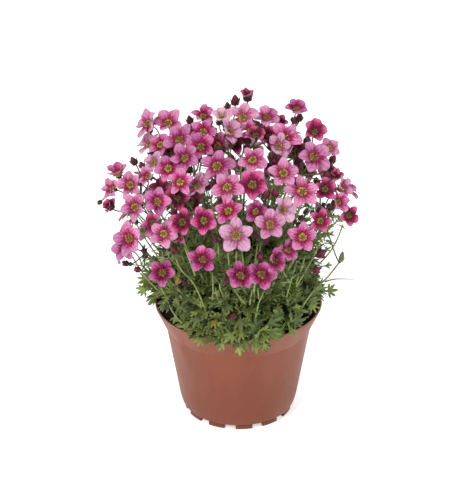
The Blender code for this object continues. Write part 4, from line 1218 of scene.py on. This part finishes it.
def heartMaterial():
    m = newRecipe("heart")
    _, along, part, _, deep, chance = m.marks()
    tone, relief = m.mottled(900)
    ovary = m.mix(along, (70, 74, 18), (112, 112, 30))
    filament = m.mix(along, (150, 120, 60), (196, 160, 100))
    # Anthers turn browner as chance rises, and chance is high on the lower blooms: partly random tone, partly
    # painted shade
    anther = m.over((214, 192, 84), chance, 0.2, 0.9, (190, 142, 66))
    disc = m.mix(tone, (160, 142, 44), (204, 188, 70))
    # Hearts of deep blooms darken to brown: partly their own colour, partly painted shade
    colour = m.over(m.byPart(part, ovary, filament, anther, disc), deep, 0.2, 0.9, (66, 34, 22), 0.65)
    return m.finish(colour, 0.6, (relief, 0.5, 0.0003))


def calyxMaterial():
    m = newRecipe("calyx")
    _, along, part, _, _, chance = m.marks()
    tone, relief = m.mottled(700)
    stalk = m.over((98, 116, 62), along, 0.25, 1.0, (80, 36, 38))
    cup = m.mix(along, (66, 36, 30), (74, 12, 32))
    sepal = m.over((82, 14, 34), chance, 0.0, 1.0, (88, 44, 40))
    bud = m.over((56, 6, 24), along, 0.25, 0.75, (122, 14, 46))
    bud = m.over(bud, chance, 0.95, 0.35, (66, 8, 30), 0.85)
    colour = m.over(m.byPart(part, stalk, cup, sepal, bud), tone, 0.35, 0.75, (40, 12, 16), 0.35)
    green = m.over((104, 118, 66), along, 0.3, 1.0, (84, 84, 52))
    colour = m.mix(m.sums("GREATER_THAN", chance, 1.5), colour, green)
    return m.finish(colour, 0.55, (relief, 0.6, 0.0004))


def leafMaterial(name, young, old, shine=0.4):
    # Leaves and stems: pale is youth, and on the cushion's lower leaves partly painted shade; deep is how far
    # a leaf has turned
    m = newRecipe(name)
    _, along, part, pale, deep, chance = m.marks()
    tone, relief = m.mottled(260)
    colour = m.over(m.mix(pale, old, young), along, 0.55, 1.0, (150, 170, 92), 0.35)
    colour = m.over(colour, tone, 0.35, 0.7, (52, 74, 36), 0.45)
    colour = m.over(colour, deep, 0.4, 1.0, m.mix(chance, (186, 168, 60), (150, 84, 48)), 0.75)
    colour = m.mix(m.times(part, 0.35), colour, (150, 166, 112))
    colour = m.vary(colour, m.step(chance, 0.0, 1.0, 0.485, 0.515), m.step(chance, 0.0, 1.0, 0.82, 1.15))
    return m.finish(colour, 0.5, (relief, 0.35, 0.0004), {
        "Specular IOR Level": shine, "Subsurface Weight": 0.08,
        "Subsurface Radius": (0.0006, 0.0012, 0.0004)})


def potMaterial():
    m = newRecipe("potPlastic")
    tone, relief = m.mottled(60, 0.35, 4.0)
    fine, grain = m.mottled(900, 1.0, 2.0)
    height = m.node("SeparateXYZ", {0: m.node("TexCoord", {})["Object"]})["Z"]
    # Painted shade: the plastic is darker towards the foot and lighter towards the top
    colour = m.over((129, 68, 46), height, 0.010, 0.080, (139, 76, 54))
    colour = m.over(colour, tone, 0.35, 0.70, (120, 64, 44), 0.40)
    colour = m.over(colour, fine, 0.62, 0.75, (156, 98, 76), 0.15)
    # Painted shade: darker still in the lowest centimetre, near the floor
    colour = m.over(colour, height, 0.010, 0.0, (98, 54, 40), 0.35)
    # Painted highlight: a pale line along the rim's top edge
    colour = m.over(colour, height, rimHeight - 0.0009, rimHeight - 0.0002, (184, 136, 118), 0.8)
    uneven = m.sums("ADD", grain, m.times(relief, 0.4))
    return m.finish(colour, m.step(tone, 0.3, 0.7, 0.40, 0.54), (uneven, 0.18, 0.0003),
                    {"Specular IOR Level": 0.27})


def soilMaterial():
    m = newRecipe("compost")
    tone, relief = m.mottled(240, 1.0, 5.0)
    colour = m.over((22, 16, 13), tone, 0.35, 0.65, (56, 40, 31))
    colour = m.over(colour, relief, 0.66, 0.74, (104, 78, 58), 0.6)
    return m.finish(colour, 0.92, (relief, 0.9, 0.0010))


# Pot: a turned shell with softened edges, a ring of feet and drainage holes

potLook = {
    "rimRadius": 0.0598,
    "bandFootRadius": 0.0525,
    "bandHeight": 0.0165,
    "wallTopRadius": 0.0519,
    "wallFootRadius": 0.0421,
    "wallFootHeight": 0.0096,
    "wall": 0.0015,
    "footHeight": 0.0028,
    "footOuter": 0.0390,
    "footInner": 0.0362,
    "footCount": 12,
    "footGap": 12,
    "footSteps": 12,
    "firstGap": 261,
    "sunk": 0.0004,            # how far feet and pad reach into the floor
    "edge": 0.0005,
    "padRadius": 0.0110,
    "drainRadius": 0.0026,
    "drainCircle": 0.0325,
    "sharpFrom": 40,
    "sides": 180,
}


def softened(corners):
    # A closed profile of (radius, height, softness) with each corner rounded
    rounded = []
    for k, (r, h, soft) in enumerate(corners):
        here = np.array([r, h])
        if not soft:
            rounded.append(here)
            continue
        ends = []
        for beside in (corners[k - 1], corners[(k + 1) % len(corners)]):
            away = np.array(beside[:2]) - here
            ends.append(here + unit(away) * min(soft, np.linalg.norm(away) * 0.49))
        rounded += list(bezierPath(ends[0], here, ends[1], 5))
    return rounded


def addTurned(shape, profile, sides):
    # An open profile that starts and ends on the axis
    rows = []
    for radius, height in profile:
        turns = [2 * math.pi * k / sides for k in range(sides if radius > 1e-6 else 1)]
        places = [(radius * math.cos(turn), radius * math.sin(turn), height) for turn in turns]
        rows.append([shape.verts.new(place) for place in places])
    for low, high in zip(rows, rows[1:]):
        for k in range(sides):
            corners = [row[i % len(row)] for row, i in ((low, k), (low, k + 1), (high, k + 1), (high, k))]
            shape.faces.new(list(dict.fromkeys(corners)))


def turnedMesh(name, profile, sides, home=None):
    shape = bmesh.new()
    addTurned(shape, profile, sides)
    mesh = bpy.data.meshes.new(name)
    shape.to_mesh(mesh)
    shape.free()
    return newObject(name, mesh, home)


def buildPot(material):
    p = potLook
    bandFoot = rimHeight - p["bandHeight"]
    floor, wall = p["footHeight"] + p["wall"], p["wall"]
    shelf = bandFoot + wall
    foot, footRise = p["wallFootRadius"], p["wallFootHeight"]
    corners = [
        (0, p["footHeight"], 0), (foot - 0.0022, p["footHeight"] + 0.0002, 0.0030), (foot, footRise, 0.0040),
        (p["wallTopRadius"], bandFoot - 0.0006, 0.0006), (p["bandFootRadius"], bandFoot, 0.0006),
        (p["rimRadius"] - 0.0002, rimHeight - 0.0008, 0.0004), (p["rimRadius"] - 0.0004, rimHeight, 0.0003),
        (p["rimRadius"] - wall, rimHeight, 0.0005), (p["bandFootRadius"] - wall, shelf, 0.0010),
        (p["wallTopRadius"] - wall, shelf, 0.0005), (foot - wall, footRise, 0.0030),
        (foot - 0.0051, floor, 0.0020), (0, floor, 0),
    ]
    pot = turnedMesh("nurseryPot", softened(corners), p["sides"])
    cutters = bpy.data.collections.new("cutters")
    bpy.context.scene.collection.children.link(cutters)
    hole = [(0, -0.01), (p["drainRadius"], -0.01), (p["drainRadius"], 0.01), (0, 0.01)]
    for k in range(0, p["footCount"], 2):
        angle = math.radians(p["firstGap"]) + 2 * math.pi * k / p["footCount"]
        cutter = turnedMesh("drainCutter", hole, 24, cutters)
        cutter.location = wayAt(angle) * p["drainCircle"] + upBy(p["footHeight"])
    cut = pot.modifiers.new("cut", "BOOLEAN")
    cut.operation = "DIFFERENCE"
    cut.operand_type = "COLLECTION"
    cut.collection = cutters
    cut.solver = "EXACT"
    mesh = bpy.data.meshes.new_from_object(pot.evaluated_get(bpy.context.evaluated_depsgraph_get()))
    pot.modifiers.clear()
    pot.data = mesh
    for cutter in list(cutters.objects):
        bpy.data.objects.remove(cutter, do_unlink=True)
    bpy.data.collections.remove(cutters)
    addFeet(mesh)
    mesh.materials.clear()
    mesh.materials.append(material)
    mesh.shade_smooth()
    mesh.set_sharp_from_angle(angle=math.radians(p["sharpFrom"]))
    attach(pot, "root")
    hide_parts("pot")


def addFeet(mesh):
    # Arc-shaped feet and the middle pad, sunk a little into the floor
    p = potLook
    shape = bmesh.new()
    shape.from_mesh(mesh)
    top, edge, inner, outer = p["footHeight"] + p["sunk"], p["edge"], p["footInner"], p["footOuter"]
    section = [(inner, top), (inner, edge), (inner + edge, 0), (outer - edge, 0), (outer, edge), (outer, top)]
    step = 360 / p["footCount"]
    for foot in range(p["footCount"]):
        first = p["firstGap"] + foot * step + p["footGap"] / 2
        last = first + step - p["footGap"]
        rings = []
        for k in range(p["footSteps"] + 1):
            angle = math.radians(first + (last - first) * k / p["footSteps"])
            rings.append([shape.verts.new((r * math.cos(angle), r * math.sin(angle), h)) for r, h in section])
        for low, high in zip(rings, rings[1:]):
            for k in range(len(section)):
                after = (k + 1) % len(section)
                shape.faces.new((low[k], high[k], high[after], low[after]))
        shape.faces.new(rings[0])
        shape.faces.new(list(reversed(rings[-1])))
    pad = p["padRadius"]
    addTurned(shape, [(0, 0), (pad - edge, 0), (pad, edge), (pad, top), (0, top)], 48)
    shape.to_mesh(mesh)
    shape.free()


def lumps(place, layers, start=0):
    # Layers of noise, each given by its height and how fine it is
    return sum((height * noise.noise(Vector(place) * fine) for height, fine in layers), start)


# Soil: a turned fill with a crumbly top, built in place of the imported one

soilLook = {
    "drop": 0.0080,
    "sides": 140,
    "rings": 24,
    "ringStep": 0.0012,
    "crumbs": 420,
    "crumbSize": (0.0007, 0.0021),
    "crumbReach": 0.011,       # how far in from the rim they lie
    "crumb": [(0.35, -0.6), (0.9, -0.2), (0.8, 0.4), (0.3, 0.75)],
    "roughness": 0.0013,
    "lumps": [(1, 160), (0.6, 420)],
}


def buildSoil(material):
    p, look = potLook, soilLook
    top = rimHeight - look["drop"]
    floor = p["footHeight"] + p["wall"] + 0.0003
    shelf = rimHeight - p["bandHeight"] + p["wall"] + 0.0005
    foot, band = p["wallFootRadius"] - p["wall"], p["bandFootRadius"] - p["wall"]
    edge = band + (top - shelf) / (rimHeight - shelf) * (p["rimRadius"] - p["bandFootRadius"]) - 0.0004
    profile = [(0, floor), (foot - 0.0042, floor), (foot - 0.0008, p["wallFootHeight"] + 0.0004),
               (p["wallTopRadius"] - p["wall"] - 0.0006, shelf), (band - 0.0006, shelf), (edge, top + 0.0006)]
    profile += [(edge - look["ringStep"] * k, top + 0.0004) for k in range(1, look["rings"])]
    soil = turnedMesh("compost", profile + [(edge - 0.032, top), (0, top)], look["sides"])
    for v in soil.data.vertices:
        if v.co.z > top - 0.0002:
            inward = edge - math.hypot(v.co.x, v.co.y)
            v.co.z += look["roughness"] * lumps(v.co, look["lumps"]) * min(1, inward / 0.002 + 0.25)
    gather = Gather()
    for _ in range(look["crumbs"]):
        size = uniform(*look["crumbSize"])
        reach = edge - 0.001 - size - uniform(0, look["crumbReach"])
        way = wayAt(uniform(0, 2 * math.pi))
        points, *rest = turnedShape([(r * size, h * size) for r, h in look["crumb"]], 6)
        points *= 1 + 0.3 * np.array([[uniform(-1, 1)] for _ in range(len(points))])
        lean = frameAlong(scatter(1, 1.2))
        gather.put((points, *rest), 0, (0, 0, 0), reach * way + upBy(top + 0.0004 + 0.3 * size), lean)
    soil.data.shade_smooth()
    soil.data.materials.append(material)
    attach(soil, "root")
    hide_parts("soil")
    gather.build("crumbs", material, "soil")


coreLook = {
    "stump": [(0.0001, -0.0180), (0.0140, -0.0180), (0.0140, -0.0080)],
    "inward": 0.0035,          # from the outline, and how far under it
    "under": 0.0015,
    "lumpyFrom": 0.006,        # below the rim
    "swells": [(0.07, 90), (0.04, 260)],
    "rises": [(0.002, 120)],
    "sides": 96,
}


def buildCore(material):
    # The dense middle of the cushion under its leaves, coloured dark as painted shade
    look = coreLook
    profile = look["stump"] + [(max(r - look["inward"], 0.0001), h - look["under"]) for r, h in coreProfile]
    fine = []
    for (r0, h0), (r1, h1) in zip(profile, profile[1:]):
        fine += [(r0 + (r1 - r0) * k / 4, rimHeight + h0 + (h1 - h0) * k / 4) for k in range(4)]
    fine.append((profile[-1][0], rimHeight + profile[-1][1]))
    points, quads, tris, _ = turnedShape(fine, look["sides"])
    for k, p in enumerate(points):
        if p[2] > rimHeight - look["lumpyFrom"]:
            points[k, :2] *= lumps(p, look["swells"], 1)
            points[k, 2] += lumps(p, look["rises"])
    gather = Gather()
    gather.put((points, quads, tris, 0.2), 0, (0, 0, 0.3))
    gather.build("shadedCore", material, "leaf_green", ("leafy_plant",))


# Buds that lie among the leaves: the places of the stalk from its foot to the bud across and up,
# mm, then the bud's scale
looseBuds = [
    ([(-49.0, -3.0), (-52.0, 1.0), (-54.9, 2.6)], 0.9), ([(-35.0, 12.5), (-37.5, 12.8), (-40.3, 10.4)], 0.9),
    ([(-31.5, 15.5), (-34.0, 15.8), (-36.6, 13.6)], 0.7),
    ([(6.0, -16.5), (7.5, -9.0), (3.0, -7.0), (-1.0, -10.0)], 1.0),
    ([(50.0, -12.0), (47.0, -12.5), (44.3, -15.0)], 1.0),
    ([(-96.0, 72.6), (-97.0, 71.7), (-97.8, 70.9)], 0.6),
]


def addLooseBud(gather, corners, scale):
    path = frontPath(corners)
    axis = unit(path[-1] - path[-2])
    *shape, along = tubeShape(path, [calyxLook["pedicelRadius"] * 1.1] * len(path))
    gather.put((*shape, along * 0.4), 0.0, (0, 0.4, draw.random()))
    addBud(gather, {"place": path[-1] + axis * solidSizes["budBase"] * scale, "axis": axis, "scale": scale})


def buildFlowers(petal, heart, calyx):
    sectors = {"frontLeft": [], "frontRight": [], "backRight": [], "backLeft": []}
    for name, head in heads.items():
        x, y = head["middle"][:2]
        sectors[("front" if y < 0 else "back") + ("Left" if x < 0 else "Right")].append(name)
    for sector, names in sectors.items():
        petals, hearts, calyces = Gather(), Gather(), Gather()
        for name in names:
            for bloom in heads[name]["blooms"]:
                addPetals(petals, bloom)
                addHeart(hearts, bloom)
                addCalyx(calyces, bloom)
            for bud in heads[name]["buds"]:
                if bud["scale"] > calyxLook["openingScale"]:
                    addPetals(petals, openingBloom(bud))
                addBud(calyces, bud)
            addPedicels(calyces, heads[name])
            addSideBuds(calyces, heads[name])
        for corners, scale in looseBuds:
            if sector == ("frontLeft" if corners[-1][0] < 0 else "frontRight"):
                addLooseBud(calyces, corners, scale)
        petals.build("petals_" + sector, petal, "petal_pink", names)
        hearts.build("hearts_" + sector, heart, "petal_pink")
        calyces.build("calyces_" + sector, calyx, "petal_pink")


def buildStems(material):
    gather = Gather()
    for head in heads.values():
        addStemLeaves(gather, addStem(gather, head))
        addBracts(gather, head)
    for _ in range(cushionLook["tallShoots"]):
        addTallShoot(gather, draw.choice(list(heads.values())))
    for corners in frontStems:
        addStalk(gather, corners, stemLook["frontRadius"], (uniform(0.5, 0.95), 0, draw.random()))
    gather.build("stems", material, "leaf_green", ("leafy_plant",))


# Stage: a pale floor, a white surround and soft lamps

stageLook = {
    "surround": 0.48,
    "white": (255, 255, 255),
    "floor": (0.93, 0.93, 0.93, 1),
    "floorSize": 4,
    "floorGlow": 0.52,
    "aim": (0, 0, 0.12),
    "lamps": [  # place, size, watts
        ((-0.9, -1.5, 1.7), 0.8, 25),
        ((1.5, -1.0, 1.0), 1.2, 6),
        ((0.2, 1.3, 1.9), 1.2, 10),
    ],
}


def buildStage():
    look, reach = stageLook, stageLook["floorSize"]
    mesh = bpy.data.meshes.new("floor")
    corners = [(x * reach, y * reach, 0) for x, y in ((-1, -1), (1, -1), (1, 1), (-1, 1))]
    mesh.from_pydata(corners, [], [(0, 1, 2, 3)])
    floor = newObject("floor", mesh)
    mesh.materials.append(newRecipe("paleFloor").finish(look["floor"], 0.9, None, {
        "Emission Color": look["white"], "Emission Strength": look["floorGlow"]}))
    world = bpy.data.worlds.new("surround")
    surround = Recipe(world)
    surround.fill(world.node_tree.nodes["Background"], {"Color": look["white"], "Strength": look["surround"]})
    bpy.context.scene.world = world
    for number, (place, size, watts) in enumerate(look["lamps"]):
        lamp = bpy.data.lights.new(f"softLamp_{number}", "AREA")
        lamp.shape = "DISK"
        lamp.size = size
        lamp.energy = watts
        item = newObject(f"softLamp_{number}", lamp)
        item.location = place
        item.rotation_euler = (Vector(look["aim"]) - Vector(place)).to_track_quat("-Z", "Y").to_euler()
    bpy.context.scene.view_settings.view_transform = "Standard"


buildPot(potMaterial())
print("pot made")
buildSoil(soilMaterial())
print("soil made")
buildCore(leafMaterial("shadedLeaf", (32, 42, 20), (18, 24, 12), 0.05))
buildCushion(leafMaterial("leaf", (146, 160, 80), (52, 72, 33)))
print("cushion made")
buildStems(leafMaterial("stem", (162, 172, 108), (88, 108, 56)))
print("stems made")
buildFlowers(petalMaterial(), heartMaterial(), calyxMaterial())
print("flowers made")
buildStage()
